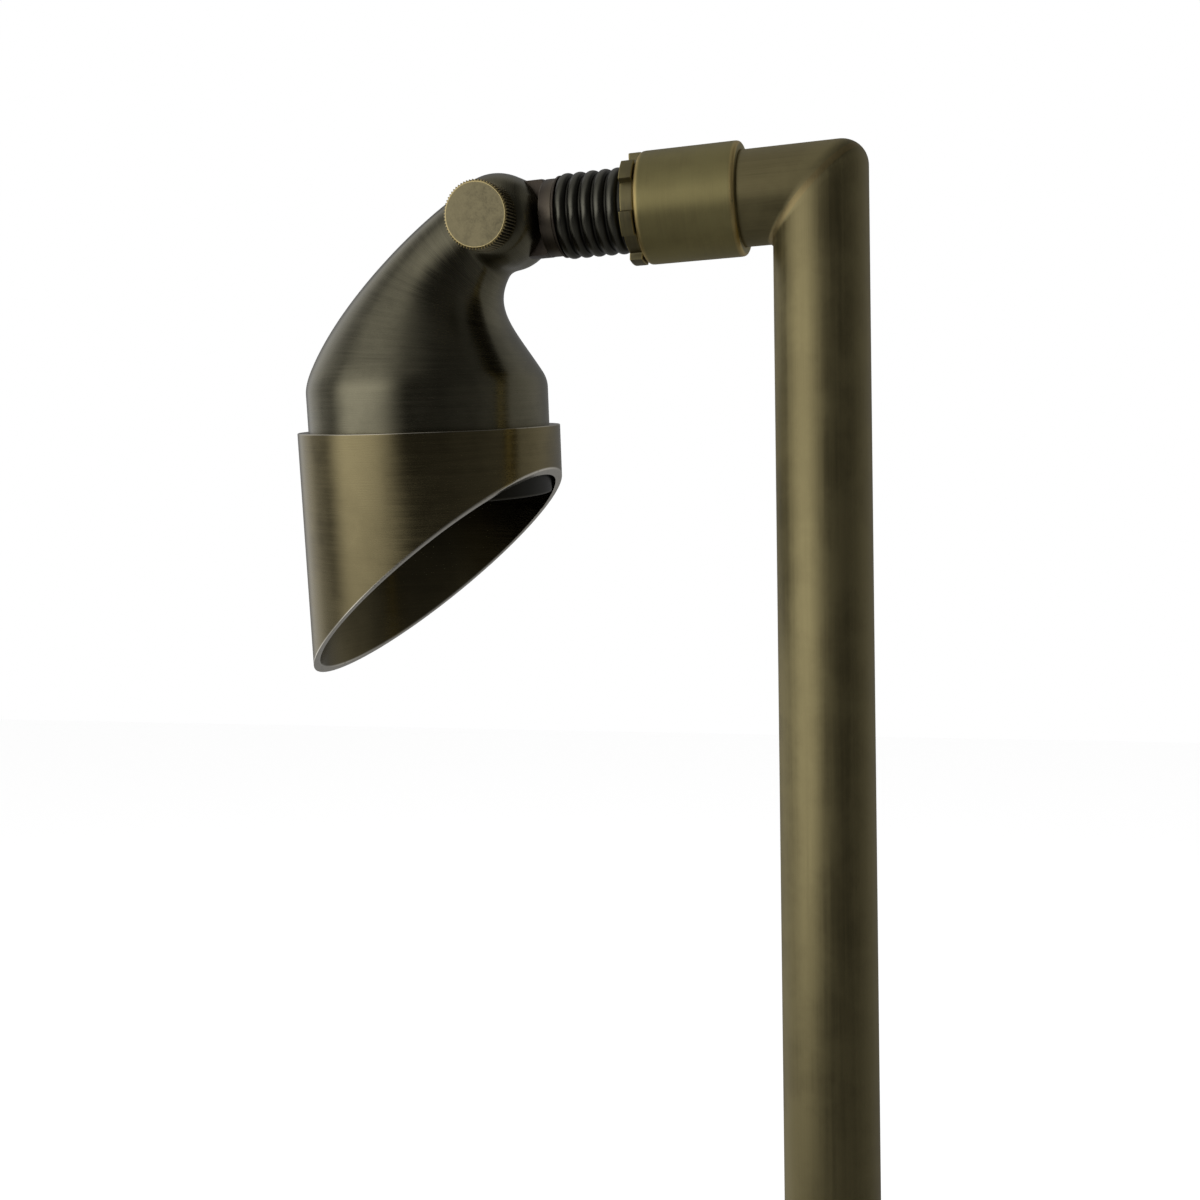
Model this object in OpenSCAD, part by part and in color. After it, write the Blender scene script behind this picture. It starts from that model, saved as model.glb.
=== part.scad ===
// Path light: a bent tube post that carries a swivelling, tilting lamp head with a glare guard.
// Millimetres, +Z up. The origin is on the post's axis at the shoulder above the threaded stub.
// The arm points to -X and the thumb screw faces -Y.

/* [Post and arm] */
// Outside diameter of the post and arm tube
tube_d = 22.2; // [20:0.1:24]
// Wall of the post and arm tube
tube_wall = 2.1; // [1.8:0.1:2.6]
// Height of the arm's axis above the foot's shoulder
arm_h = 445; // [250:5:900]
// Distance from the post's axis to the collar
arm_reach = 18; // [16:0.5:60]
// Radius ground on the elbow's outer corner
corner_r = 6; // [3:0.5:6]
// Thickness of the braze between the mitred tubes
braze_t = 0.3; // [0.2:0.1:0.6]

/* [Foot] */
// Diameter of the threaded stub, a half-inch pipe thread
stub_d = 20.8; // [20:0.1:21.4]
// Length of the threaded stub
stub_l = 14; // [12:1:25]
// Diameter of the foot's flange
flange_d = 25; // [24.2:0.1:32]
// Thickness of the foot's flange
flange_t = 3; // [2:0.5:8]
// Length of the foot's plug inside the post
plug_l = 16; // [10:1:40]
// Bore of the foot for the lead
foot_bore_d = 9; // [8:0.5:12]
// Length of the grommet in the foot's bore
grommet_l = 5; // [3:0.5:10]

/* [Leads] */
// Diameter of the jacketed lead in the post
lead_d = 5.2; // [4:0.1:6]
// Radius of the lead's bend in the elbow
lead_bend_r = 9; // [8:0.5:12]
// Diameter of each wire in the knuckle and the head
wire_d = 1.4; // [1:0.1:1.5]

/* [Collar] */
// Outside diameter of the collar
collar_d = 26.5; // [25.5:0.1:30]
// Length of the collar
collar_l = 24; // [18:0.5:40]
// Rounding of the collar's ends
collar_edge_r = 1.3; // [0.5:0.1:1.8]
// Depth of the collar's socket for the arm tube
collar_socket_l = 6.5; // [5:0.5:8]
// Length of the wire seal in the arm's end
seal_l = 5; // [3:0.5:10]

/* [Locknut] */
// Diameter across the locknut's lobes
nut_d = 26.4; // [25.4:0.1:29]
// Diameter between the locknut's lobes
nut_root_d = 23; // [21:0.1:24.4]
// Thickness of the locknut
nut_t = 3.2; // [2.6:0.1:6]
// Chamfer on the lobes' tips
nut_chamfer = 0.3; // [0.1:0.1:0.6]
// Width of one lobe
lobe_w = 6; // [4:0.1:7]
// Number of lobes
lobes = 6; // [4:1:8]

/* [Stem and boot] */
// Diameter of the stem's thread
thread_d = 16; // [15:0.1:16.5]
// Length of the thread inside the collar
thread_in_l = 15; // [12:0.5:16]
// Bore of the stem
stem_bore_d = 11; // [10:0.1:12]
// Diameter of the boot over its ribs
boot_crest_d = 20.4; // [19.8:0.1:22]
// Diameter of the boot between its ribs
boot_root_d = 18.5; // [18:0.1:19.2]
// Length of the boot's plain end at the locknut
boot_cuff_l = 0.8; // [0.4:0.1:3]
// Number of ribs
ribs = 5; // [3:1:8]
// Distance from rib to rib
rib_pitch = 3.2; // [3:0.1:4]
// Thickness of the washer behind the boot
boot_washer_t = 0.6; // [0.4:0.1:1]
// Diameter of the washer behind the boot
boot_washer_d = 19.6; // [19:0.1:20.4]
// Diameter of the stem's shoulder, which is also the tongue's height
shoulder_d = 18.6; // [17.8:0.1:19]
// Length of the stem's round shoulder
shoulder_l = 3.5; // [3:0.1:8]
// Thickness of the tongue
tongue_t = 7; // [6:0.1:8]
// Hole in the tongue for the wires
tongue_hole_d = 3.3; // [3.2:0.1:3.4]
// Section of the stem's o-ring
stem_ring_d = 1.6; // [1.2:0.1:2]

/* [Thumb screw] */
// Diameter of the knob over its knurl
knob_d = 16.4; // [14.5:0.1:18]
// Thickness of the knob
knob_t = 6.6; // [4:0.1:9]
// Chamfer on the knob's face
knob_chamfer = 0.45; // [0.2:0.05:0.8]
// Number of knurl teeth
knurl_teeth = 66; // [40:2:72]
// Depth of the knurl
knurl_depth = 0.35; // [0.2:0.05:0.5]
// Diameter of the screw's shoulder, the tilt pivot
pivot_d = 6; // [5.4:0.1:6.2]
// Diameter of the screw's thread
screw_d = 5; // [4:0.1:5.2]
// Rise of the screw in one turn
screw_pitch = 0.8; // [0.7:0.05:1]
// Diameter of the washer under the knob
knob_washer_d = 12.6; // [10:0.1:13]
// Thickness of the washer under the knob
knob_washer_t = 0.8; // [0.5:0.1:1.2]
// Thickness of each friction washer in the slot
friction_washer_t = 0.8; // [0.5:0.1:1.2]
// Diameter of the threaded insert in the back cheek
insert_d = 9; // [8:0.1:10]

/* [Head] */
// Swivel of the head about the arm, with the lamp end away from the thumb screw
head_roll = 9; // [-90:1:90]
// Lean of the head about the thumb screw, with the lamp end away from the post
head_lean = 1.5; // [-15:0.5:90]
// Lowest tilt that the slot allows, towards the post
tilt_in = 20; // [10:1:25]
// Highest tilt that the slot allows, away from the post
tilt_out = 100; // [60:1:105]
// Diameter of the round knuckle end
knuckle_d = 23.2; // [22.6:0.1:26]
// Width across the two cheeks
cheek_w = 24; // [22:0.1:26]
// Diameter of the flat on each domed cheek
cheek_face_d = 14; // [13:0.1:15]
// Width of the knuckle's plain band between its domed cheeks
cheek_band_w = 4; // [2:0.1:8]
// Distance from the tilt pivot to the bell's axis
head_offset = 23.1; // [22:0.1:26]
// Depth from the tilt pivot to the bell's shoulder
shoulder_drop = 38.5; // [36:0.5:45]
// Wall of the bell's cylindrical band
bell_wall = 3.2; // [2.8:0.1:5]
// Length of the band that shows above the shroud
band_l = 11.9; // [8:0.1:16]
// Length of the spigot inside the shroud
spigot_l = 9.6; // [8.6:0.1:14]
// Section of the two body o-rings
body_ring_d = 1.6; // [1.2:0.1:1.8]

/* [Lens] */
// Thickness of the lens
lens_t = 3; // [2:0.1:4]
// Thickness of the lens gasket
gasket_t = 1.4; // [1:0.1:2]
// Height of the lens ring below the spigot
lens_ring_h = 7.8; // [6.5:0.1:12]
// Wall of the lens ring around the lens
lens_ring_wall = 2.1; // [1.8:0.1:2.6]
// Reach of the lens ring's lip inside the bell's bore
lens_lip = 3; // [2:0.1:5]
// Length of the lens ring's threaded skirt
skirt_l = 3; // [2:0.1:3.5]

/* [Lamp] */
// Diameter of the lamp's front rim
lamp_d = 50.6; // [50:0.1:51]
// Room between the lamp's rim and the bell's bore
lamp_room = 2.7; // [1.7:0.1:3.2]
// Depth of the lamp's reflector
reflector_h = 29; // [27:0.5:30]
// Thickness of the lamp's rim
lamp_rim_t = 1.8; // [1.2:0.1:2.5]
// Wall of the reflector
reflector_wall = 1.5; // [1.2:0.1:2]
// Height of the lamp's base
lamp_base_h = 8.5; // [7:0.5:9]
// Width of the lamp's base
lamp_base_w = 14; // [12:0.5:15]
// Depth of the lamp's base
lamp_base_d = 10; // [8:0.5:11]
// Diameter of the lamp's capsule
capsule_d = 9; // [7:0.5:10]
// Length of the lamp's capsule
capsule_l = 15; // [10:0.5:18]
// Diameter of one lamp pin
pin_d = 1.55; // [1.4:0.05:1.7]
// Distance between the lamp pins
pin_gap = 5.3; // [5.2:0.1:5.5]
// Length of the lamp pins
pin_l = 6.8; // [6:0.1:7]
// Width of the lamp socket
socket_w = 16; // [15.5:0.1:17]
// Depth of the lamp socket
socket_d = 9; // [8:0.1:10]
// Height of the lamp socket
socket_h = 7.8; // [7.4:0.1:8.2]
// Diameter of the two socket screws
socket_screw_d = 2.4; // [2:0.1:2.6]
// Length of a socket screw's thread in the neck
socket_screw_l = 4; // [3:0.1:4.4]
// Height of the lamp's retaining ring
retainer_h = 3.6; // [2.4:0.1:5]
// Diameter of the wires' way from the slot into the bell
way_d = 5.8; // [5.4:0.1:6.4]

/* [Shroud] */
// Distance that the shroud stands out from the bell's band
shroud_step = 2.8; // [2.2:0.1:7]
// Wall of the shroud below its collar
shroud_wall = 1.8; // [1.2:0.1:2.2]
// Height of the shroud's thick collar
shroud_collar_h = 11; // [10:0.1:14]
// Length of the shroud at its axis, from the top edge to the slanted cut
shroud_axis_l = 38.7; // [36:0.5:60]
// Slant of the cut, from square
cut_angle = 39.2; // [10:0.1:42]
// Turn of the cut about the shroud's axis
shroud_turn = 7; // [-180:1:180]

/* [Hidden] */
$fn = 96;

// Clearances
run_gap = 0.05; // radial gap of a shaft that turns in a hole
seat_gap = 0.02; // gap of a piece pressed or brazed into its seat
face_gap = 0.1; // gap between clamped faces that turn on each other
body_gap = 0.3; // gap between bodies that don't touch
knuckle_gap = 0.5; // gap around the knuckle's round end
over = 1; // how far a cut runs past the face that it opens

// Shares of the sizes that they follow
crown_turn = 22; // place where the neck's upper line leaves the knuckle, from its top
crown_share = 0.8; // neck's upper control point, along the head's offset
flank_out_share = 0.77; // neck's outer control point, along the band's radius
flank_drop_share = 0.49; // and along the shoulder's drop
throat_x_share = 0.1; // start of the neck's inner line on the knuckle, across
throat_z_share = 0.95; // and down
throat_in_share = 0.56; // inner line's first control point, across the knuckle
throat_in_drop_share = 0.54; // and along the shoulder's drop
throat_out_share = -0.02; // inner line's second control point, across the knuckle
throat_out_drop_share = 0.645; // and along the shoulder's drop
waist_drop_share = 0.485; // depth of the bell's inner waist along the shoulder's drop
hip_drop_share = 0.75; // depth of the bell's inner hip
sill_drop_share = 0.96; // depth where the bell's bore gets straight
way_drop_share = 0.68; // depth of the wires' way below the bell's roof, along the socket's height
waist_r_share = 0.54; // radius of the inner waist along the bell's bore radius
hip_r_share = 0.79; // radius of the inner hip
room_rise_share = 0.6; // rise of the wires' room above the pivot, along the slot's radius
tongue_hole_share = 0.2; // place of the tongue's hole between the pivot's bore and the rim
groove_share = 1.3; // width of an o-ring's groove along its section
ring_drop_shares = [0.28, 0.72]; // places of the two body o-rings along the spigot
gasket_sink_share = 0.6; // depth of the gasket's seat in the lens ring
entry_share = 0.6; // place of the wires' entry along the socket's height
bend_share = 0.35; // place of the wires' last bend on the way to the socket
wire_side_share = 0.75; // distance of each wire from the middle, along its diameter
wire_out_share = 0.6; // reach of the wires out of the tongue, along the shoulder's radius
rib_fill_share = 0.86; // part of the pitch that a rib's bead fills
reflector_neck_share = 0.34; // reflector's small radius along its rim radius
reflector_bulge_share = 0.62; // height where the reflector is widest in curve

// Post and arm
tube_r = tube_d / 2;
tube_bore_r = tube_r - tube_wall;
arm_tube_l = arm_reach + collar_socket_l;

// Collar, nut and boot, as distances from the post's axis along the arm
collar_end = arm_reach + collar_l;
nut_start = collar_end + body_gap;
nut_end = nut_start + nut_t;
boot_start = nut_end + body_gap;
boot_l = boot_cuff_l + ribs * rib_pitch;
boot_end = boot_start + boot_l;
shoulder_start = boot_end + boot_washer_t;
shoulder_end = shoulder_start + shoulder_l;
knuckle_r = knuckle_d / 2;
pivot_s = shoulder_end + knuckle_gap + knuckle_r;
stem_start = collar_end - thread_in_l;
thread_r = thread_d / 2;
thread_bore_r = thread_r + run_gap;
stem_bore_r = stem_bore_d / 2;
shoulder_r = shoulder_d / 2;
pivot_r = pivot_d / 2;
pivot_bore_r = pivot_r + run_gap;
tongue_hole_r = tongue_hole_d / 2;
tongue_hole_z = pivot_bore_r + tongue_hole_r + tongue_hole_share * (shoulder_r - pivot_bore_r - tongue_hole_d);
stem_groove_l = groove_share * stem_ring_d;
stem_groove_s = stem_start + stem_ring_d + stem_groove_l / 2;

// Thumb screw, as distances from the pivot along -Y
cheek_y = cheek_w / 2;
slot_w = tongue_t + 2 * friction_washer_t + 2 * face_gap;
slot_r = shoulder_r + knuckle_gap;
knob_washer_y = cheek_y + run_gap;
knob_y = knob_washer_y + knob_washer_t + run_gap;
knob_r = knob_d / 2;
screw_r = screw_d / 2;
insert_r = insert_d / 2;
insert_y = slot_w / 2;
stud_shoulder_y = insert_y - face_gap;
stud_end_y = cheek_y - body_gap;
spot_face_r = knob_washer_d / 2 + body_gap;

// Bell, as depths below the tilt pivot
lamp_r = lamp_d / 2;
bell_bore_r = lamp_r + lamp_room;
band_r = bell_bore_r + bell_wall;
shroud_top = shoulder_drop + band_l;
spigot_end = shroud_top + spigot_l;
lens_ring_start = spigot_end + face_gap;
lens_ring_end = lens_ring_start + lens_ring_h;
gasket_start = lens_ring_start + gasket_sink_share * gasket_t;
lens_start = gasket_start + gasket_t;
lens_end = lens_start + lens_t;
lens_r = band_r - lens_ring_wall - seat_gap;
lens_open_r = bell_bore_r - lens_lip;
skirt_start = spigot_end - skirt_l;
skirt_r = bell_bore_r - run_gap;
lamp_end = skirt_start - face_gap;
rim_start = lamp_end - lamp_rim_t;
reflector_start = lamp_end - reflector_h;
lamp_base_start = reflector_start - lamp_base_h;
socket_end = lamp_base_start - body_gap;
socket_start = socket_end - socket_h;
roof_drop = socket_start - seat_gap;
roof_r = norm([socket_w, socket_d]) / 2 + body_gap;
socket_screw_x = (socket_w + pin_gap + pin_d) / 4;
ring_r = body_ring_d / 2;
groove_r = band_r + run_gap - body_ring_d - seat_gap;
groove_w = groove_share * body_ring_d;
ring_drops = [for (share = ring_drop_shares) shroud_top + share * spigot_l];

// Room for the wires between the slot and the bell
room_r = slot_r + 2 * wire_d;
room_w = slot_w - 2 * wire_d;
way_x = room_r - way_d / 2 - body_gap;
way_drop = roof_drop + way_drop_share * socket_h;

// Shroud
shroud_r = band_r + shroud_step;
shroud_bore_r = band_r + 2 * run_gap;
shroud_inner_r = shroud_r - shroud_wall;
shroud_long = shroud_axis_l + shroud_r * tan(cut_angle);

// Places a piece along the arm, with its +Z towards the head
module on_arm(s) {
    translate([-s, 0, arm_h]) rotate([0, -90, 0]) children();
}

// The stem's frame: origin at the tilt pivot, +X towards the post
module in_stem() {
    translate([-pivot_s, 0, arm_h]) rotate([head_roll, 0, 0]) children();
}

// The head's frame: origin at the tilt pivot, -Z towards the lamp
module in_head() {
    in_stem() rotate([0, head_lean, 0]) children();
}

// The bell's frame: the head's frame moved to the bell's axis
module in_bell() {
    in_head() translate([-head_offset, 0, 0]) children();
}

// The lamp socket's frame: its pins in a row from cheek to cheek
module in_socket() {
    in_bell() rotate([0, 0, 90]) children();
}

// A cylinder between two depths below the pivot
module drum(top, bottom, r) {
    translate([0, 0, -bottom]) cylinder(r = r, h = bottom - top);
}

// A tube between two depths below the pivot
module band(top, bottom, r_out, r_in) {
    difference() {
        drum(top, bottom, r_out);
        drum(top - over, bottom + over, r_in);
    }
}

// A cylinder on the pivot's axis between two distances along -Y
module pivot_bar(y0, y1, r) {
    translate([0, -y0, 0]) rotate([90, 0, 0]) cylinder(r = r, h = y1 - y0);
}

// Point on a cubic curve with four control points
function curve(p, u) = pow(1 - u, 3) * p[0] + 3 * pow(1 - u, 2) * u * p[1]
    + 3 * (1 - u) * u * u * p[2] + pow(u, 3) * p[3];

// Points of a tube of polygon section that follows a path
function unit(v) = v / norm(v);
function heading(path, i) = unit(path[min(i + 1, len(path) - 1)] - path[max(i - 1, 0)]);
function tube_ring(c, dir, ref, r, sides) = let(a = unit(cross(dir, ref)), b = cross(a, dir))
    [for (k = [0:sides - 1]) c + r * (cos(360 * k / sides) * a + sin(360 * k / sides) * b)];
function skin_faces(n, sides) = concat(
    [[for (k = [sides - 1:-1:0]) k]],
    [for (j = [0:n - 2], k = [0:sides - 1]) [j * sides + k, j * sides + (k + 1) % sides, (j + 1) * sides + k]],
    [for (j = [0:n - 2], k = [0:sides - 1])
        [j * sides + (k + 1) % sides, (j + 1) * sides + (k + 1) % sides, (j + 1) * sides + k]],
    [[for (k = [0:sides - 1]) (n - 1) * sides + k]]);

module wire(path, ref, d = wire_d, sides = 10) {
    points = [for (i = [0:len(path) - 1], q = tube_ring(path[i], heading(path, i), ref, d / 2, sides)) q];
    polyhedron(points, skin_faces(len(path), sides), convexity = 4);
}

// Material beyond the ground corner of the elbow
module corner_waste() {
    far = tube_r + over;
    c = tube_r - corner_r;
    translate([0, 0, arm_h]) difference() {
        translate([c, -far, c]) cube([far - c, 2 * far, far - c]);
        translate([c, 0, c]) rotate([90, 0, 0]) cylinder(r = corner_r, h = 4 * far, center = true);
    }
}

// Half space on one side of the elbow's mitre, side 1 above it and -1 below it
module mitre_side(side, gap) {
    reach = arm_h + 4 * arm_tube_l;
    translate([0, 0, arm_h]) rotate([0, -45, 0])
        translate([-reach, -reach, side > 0 ? gap : -gap - 2 * reach]) cube(2 * reach);
}

module tube_pair_post(r) {
    translate([0, 0, flange_t]) cylinder(r = r, h = arm_h - flange_t + tube_d);
}

module tube_pair_arm(r) {
    translate([0, 0, arm_h]) rotate([0, -90, 0]) translate([0, 0, -tube_d])
        cylinder(r = r, h = arm_tube_l + tube_d - seat_gap);
}

module post_tube() {
    color([0.36, 0.31, 0.2]) difference() {
        tube_pair_post(tube_r);
        translate([0, 0, -over]) tube_pair_post(tube_bore_r);
        mitre_side(1, -braze_t / 2);
        corner_waste();
    }
}

module arm_tube() {
    color([0.36, 0.31, 0.2]) difference() {
        tube_pair_arm(tube_r);
        translate([-over, 0, 0]) tube_pair_arm(tube_bore_r);
        mitre_side(-1, -braze_t / 2);
        corner_waste();
    }
}

module elbow_braze() {
    color([0.62, 0.52, 0.3]) difference() {
        intersection() {
            translate([0, 0, arm_h]) rotate([0, -45, 0])
                translate([-tube_d, -tube_d, -braze_t / 2]) cube([2 * tube_d, 2 * tube_d, braze_t]);
            tube_pair_post(tube_r);
        }
        tube_pair_post(tube_bore_r);
        corner_waste();
    }
}

module foot_bushing() {
    color([0.5, 0.42, 0.24]) difference() {
        union() {
            cylinder(r = flange_d / 2, h = flange_t);
            translate([0, 0, -stub_l]) cylinder(r = stub_d / 2, h = stub_l + flange_t / 2);
            cylinder(r = tube_bore_r - seat_gap, h = flange_t + plug_l);
        }
        translate([0, 0, -stub_l - over])
            cylinder(r = foot_bore_d / 2, h = stub_l + flange_t + plug_l + 2 * over);
    }
}

module foot_grommet() {
    color([0.07, 0.07, 0.07]) translate([0, 0, -stub_l]) difference() {
        cylinder(r = foot_bore_d / 2 - seat_gap, h = grommet_l);
        translate([0, 0, -over]) cylinder(r = lead_d / 2 + seat_gap, h = grommet_l + 2 * over);
    }
}

module supply_lead() {
    lead_end = stem_start - body_gap;
    color([0.1, 0.1, 0.1]) {
        translate([0, 0, -stub_l]) cylinder(r = lead_d / 2, h = stub_l + arm_h - lead_bend_r);
        translate([-lead_bend_r, 0, arm_h - lead_bend_r]) rotate([90, 0, 0])
            rotate_extrude(angle = 90) translate([lead_bend_r, 0]) circle(r = lead_d / 2);
        on_arm(lead_bend_r) cylinder(r = lead_d / 2, h = lead_end - lead_bend_r);
    }
}

// Half outline of the collar, radius against distance along it
module coupler_collar() {
    r = collar_d / 2;
    e = collar_edge_r;
    outline = concat([[0, 0]],
        [for (a = [0:15:90]) [r - e + e * sin(a), e - e * cos(a)]],
        [for (a = [0:15:90]) [r - e + e * cos(a), collar_l - e + e * sin(a)]],
        [[0, collar_l]]);
    color([0.55, 0.5, 0.3]) on_arm(arm_reach) difference() {
        rotate_extrude() polygon(outline);
        translate([0, 0, -over]) cylinder(r = tube_r + seat_gap, h = collar_socket_l + over);
        translate([0, 0, -over]) cylinder(r = thread_bore_r, h = collar_l + 2 * over);
    }
}

module arm_seal() {
    color([0.3, 0.3, 0.32]) on_arm(arm_tube_l - seal_l - seat_gap) difference() {
        cylinder(r = tube_bore_r - seat_gap, h = seal_l);
        translate([0, 0, -over]) cylinder(r = lead_d / 2 + seat_gap, h = seal_l + 2 * over);
    }
}

module knuckle_stem() {
    shank_l = shoulder_start - stem_start;
    color([0.3, 0.27, 0.2]) in_stem() difference() {
        union() {
            translate([pivot_s - stem_start, 0, 0]) rotate([0, -90, 0]) cylinder(r = thread_r, h = shank_l);
            translate([pivot_s - shoulder_start, 0, 0]) rotate([0, -90, 0])
                cylinder(r = shoulder_r, h = shoulder_l);
            pivot_bar(-tongue_t / 2, tongue_t / 2, shoulder_r);
            translate([0, -tongue_t / 2, -shoulder_r])
                cube([pivot_s - shoulder_start - shoulder_l / 2, tongue_t, shoulder_d]);
        }
        pivot_bar(-tongue_t, tongue_t, pivot_bore_r);
        translate([pivot_s - stem_start + over, 0, 0]) rotate([0, -90, 0])
            cylinder(r = stem_bore_r, h = shank_l + over + shoulder_l / 2);
        translate([pivot_s - shoulder_start, 0, tongue_hole_z]) rotate([0, -90, 0])
            cylinder(r = tongue_hole_r, h = pivot_s);
        translate([pivot_s - stem_groove_s, 0, 0]) rotate([0, -90, 0]) difference() {
            cylinder(r = thread_d, h = stem_groove_l);
            translate([0, 0, -over])
                cylinder(r = thread_bore_r - stem_ring_d - 2 * seat_gap, h = stem_groove_l + 2 * over);
        }
    }
}

// Outline of one rib: an arc between the root and the crest
function rib_arc(z0, r0, r1, w) = let(h = r1 - r0, rad = (w * w / 4 + h * h) / (2 * h), a = asin(w / 2 / rad))
    [for (k = [-3:3]) [r1 - rad + rad * cos(a * k / 3), z0 + rad * sin(a * k / 3)]];

module ribbed_boot() {
    r0 = boot_root_d / 2;
    r1 = boot_crest_d / 2;
    w = rib_pitch * rib_fill_share;
    outline = concat([[thread_r + seat_gap, 0], [r0, 0]],
        [for (i = [0:ribs - 1], q = rib_arc(boot_cuff_l + (i + 0.5) * rib_pitch, r0, r1, w)) q],
        [[r0, boot_l], [thread_r + seat_gap, boot_l]]);
    color([0.16, 0.15, 0.13]) on_arm(boot_start) rotate_extrude() polygon(outline);
}

module boot_washer() {
    color([0.4, 0.37, 0.3]) on_arm(boot_end + seat_gap) difference() {
        cylinder(r = boot_washer_d / 2, h = boot_washer_t - 2 * seat_gap);
        translate([0, 0, -over]) cylinder(r = thread_r + seat_gap, h = boot_washer_t + 2 * over);
    }
}

module stem_o_ring() {
    color([0.06, 0.06, 0.06]) on_arm(stem_groove_s + stem_groove_l / 2) rotate_extrude()
        translate([thread_bore_r - stem_ring_d / 2 - seat_gap, 0]) circle(r = stem_ring_d / 2, $fn = 32);
}

module stem_wires() {
    x0 = pivot_s - stem_start - body_gap;
    x1 = pivot_s - shoulder_start + shoulder_l;
    x2 = pivot_s - shoulder_end + knuckle_gap;
    x3 = -wire_out_share * shoulder_r;
    color([0.08, 0.08, 0.08]) in_stem() for (side = [-1, 1]) {
        y = side * (wire_d / 2 + seat_gap);
        wire([[x0, y, 0], [x1, y, 0], [x2, y, tongue_hole_z], [0, y, tongue_hole_z], [x3, y, tongue_hole_z]],
            [0, 1, 0]);
    }
}

module locknut() {
    r = nut_d / 2;
    c = nut_chamfer;
    color([0.34, 0.31, 0.22]) on_arm(nut_start) difference() {
        rotate_extrude() polygon([[0, 0], [r - c, 0], [r, c], [r, nut_t - c], [r - c, nut_t], [0, nut_t]]);
        difference() {
            translate([0, 0, -over]) cylinder(r = nut_d, h = nut_t + 2 * over);
            translate([0, 0, -2 * over]) cylinder(r = nut_root_d / 2, h = nut_t + 4 * over);
            for (i = [0:lobes - 1]) rotate([0, 0, 360 * i / lobes])
                translate([0, -lobe_w / 2, -2 * over]) cube([2 * nut_d, lobe_w, nut_t + 4 * over]);
        }
        translate([0, 0, -over]) cylinder(r = thread_bore_r, h = nut_t + 2 * over);
    }
}

// The neck: oval rings between an upper and an inner curve, from the knuckle to the bell's shoulder
neck_end_r = band_r - face_gap; // the neck ends just inside the band's rim
crown = knuckle_r * [-sin(crown_turn), cos(crown_turn)];
neck_upper = [crown, crown - crown_share * head_offset * [cos(crown_turn), sin(crown_turn)],
    [-head_offset - flank_out_share * band_r, -flank_drop_share * shoulder_drop],
    [-head_offset - neck_end_r, -shoulder_drop]];
neck_inner = [[throat_x_share * knuckle_r, -throat_z_share * knuckle_r],
    [-throat_in_share * knuckle_r, -throat_in_drop_share * shoulder_drop],
    [throat_out_share * knuckle_r, -throat_out_drop_share * shoulder_drop],
    [neck_end_r - head_offset, -shoulder_drop]];
neck_rings = 18;
neck_sides = 40;

function neck_ring(u) = let(a = curve(neck_upper, u), b = curve(neck_inner, u), c = (a + b) / 2, h = (a - b) / 2,
    w = norm(h) * (cheek_w / knuckle_d + (1 - cheek_w / knuckle_d) * sin(90 * u)))
    [for (k = [0:neck_sides - 1]) let(t = 360 * k / neck_sides)
        [c[0] + h[0] * cos(t), -w * sin(t), c[1] + h[1] * cos(t)]];

module neck_skin() {
    points = [for (j = [0:neck_rings], q = neck_ring(j / neck_rings)) q];
    polyhedron(points, skin_faces(neck_rings + 1, neck_sides), convexity = 6);
}

// The knuckle's round end with domed cheeks
module knuckle_disc() {
    across = knuckle_r - cheek_face_d / 2;
    along = cheek_y - cheek_band_w / 2;
    outline = concat([[0, -cheek_y]],
        [for (a = [-90:10:0]) [knuckle_r - across + across * cos(a), -cheek_y + along + along * sin(a)]],
        [for (a = [0:10:90]) [knuckle_r - across + across * cos(a), cheek_y - along + along * sin(a)]],
        [[0, cheek_y]]);
    rotate([90, 0, 0]) rotate_extrude() polygon(outline);
}

// The slot swept by the tongue
module tongue_slot() {
    low = -tilt_in + head_lean;
    high = tilt_out + head_lean;
    reach = 2 * knuckle_d;
    side_r = slot_r - run_gap;
    d = function(a) [cos(a), sin(a)];
    rotate([90, 0, 0]) translate([0, 0, -slot_w / 2]) {
        cylinder(r = slot_r, h = slot_w);
        linear_extrude(slot_w) polygon([[0, 0], side_r * d(low - 90), side_r * d(low - 90) + reach * d(low),
            reach * d(low / 2 + high / 2) * 2, side_r * d(high + 90) + reach * d(high), side_r * d(high + 90)]);
    }
}

// Room for the wires between the slot and the bell
module wire_way() {
    intersection() {
        rotate([90, 0, 0]) cylinder(r = room_r, h = room_w, center = true);
        translate([-room_r - over, -room_w / 2, -slot_r])
            cube([room_r + over - pivot_d, room_w, slot_r * (1 + room_rise_share)]);
    }
    translate([-way_x, 0, 0]) drum(pivot_r, way_drop, way_d / 2);
}

module bell_hollow() {
    outline = [[0, -roof_drop], [roof_r, -roof_drop],
        [waist_r_share * bell_bore_r, -waist_drop_share * shoulder_drop],
        [hip_r_share * bell_bore_r, -hip_drop_share * shoulder_drop],
        [bell_bore_r, -sill_drop_share * shoulder_drop],
        [bell_bore_r, -spigot_end - over], [0, -spigot_end - over]];
    rotate_extrude() polygon(outline);
}

module neck_housing() {
    color([0.38, 0.33, 0.22]) in_head() difference() {
        union() {
            neck_skin();
            knuckle_disc();
            translate([-head_offset, 0, 0]) drum(shoulder_drop - face_gap, spigot_end, band_r);
        }
        translate([-head_offset, 0, 0]) bell_hollow();
        tongue_slot();
        wire_way();
        pivot_bar(0, cheek_y + over, pivot_bore_r);
        pivot_bar(cheek_y, cheek_y + over, spot_face_r);
        pivot_bar(-cheek_y - over, 0, insert_r + seat_gap);
        translate([-head_offset, 0, 0]) {
            for (side = [-1, 1]) translate([0, side * socket_screw_x, 0])
                drum(roof_drop - socket_screw_l - body_gap, roof_drop + over, socket_screw_d / 2 + seat_gap);
            for (drop = ring_drops)
                band(drop - groove_w / 2, drop + groove_w / 2, band_r + over, groove_r);
        }
    }
}

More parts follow.
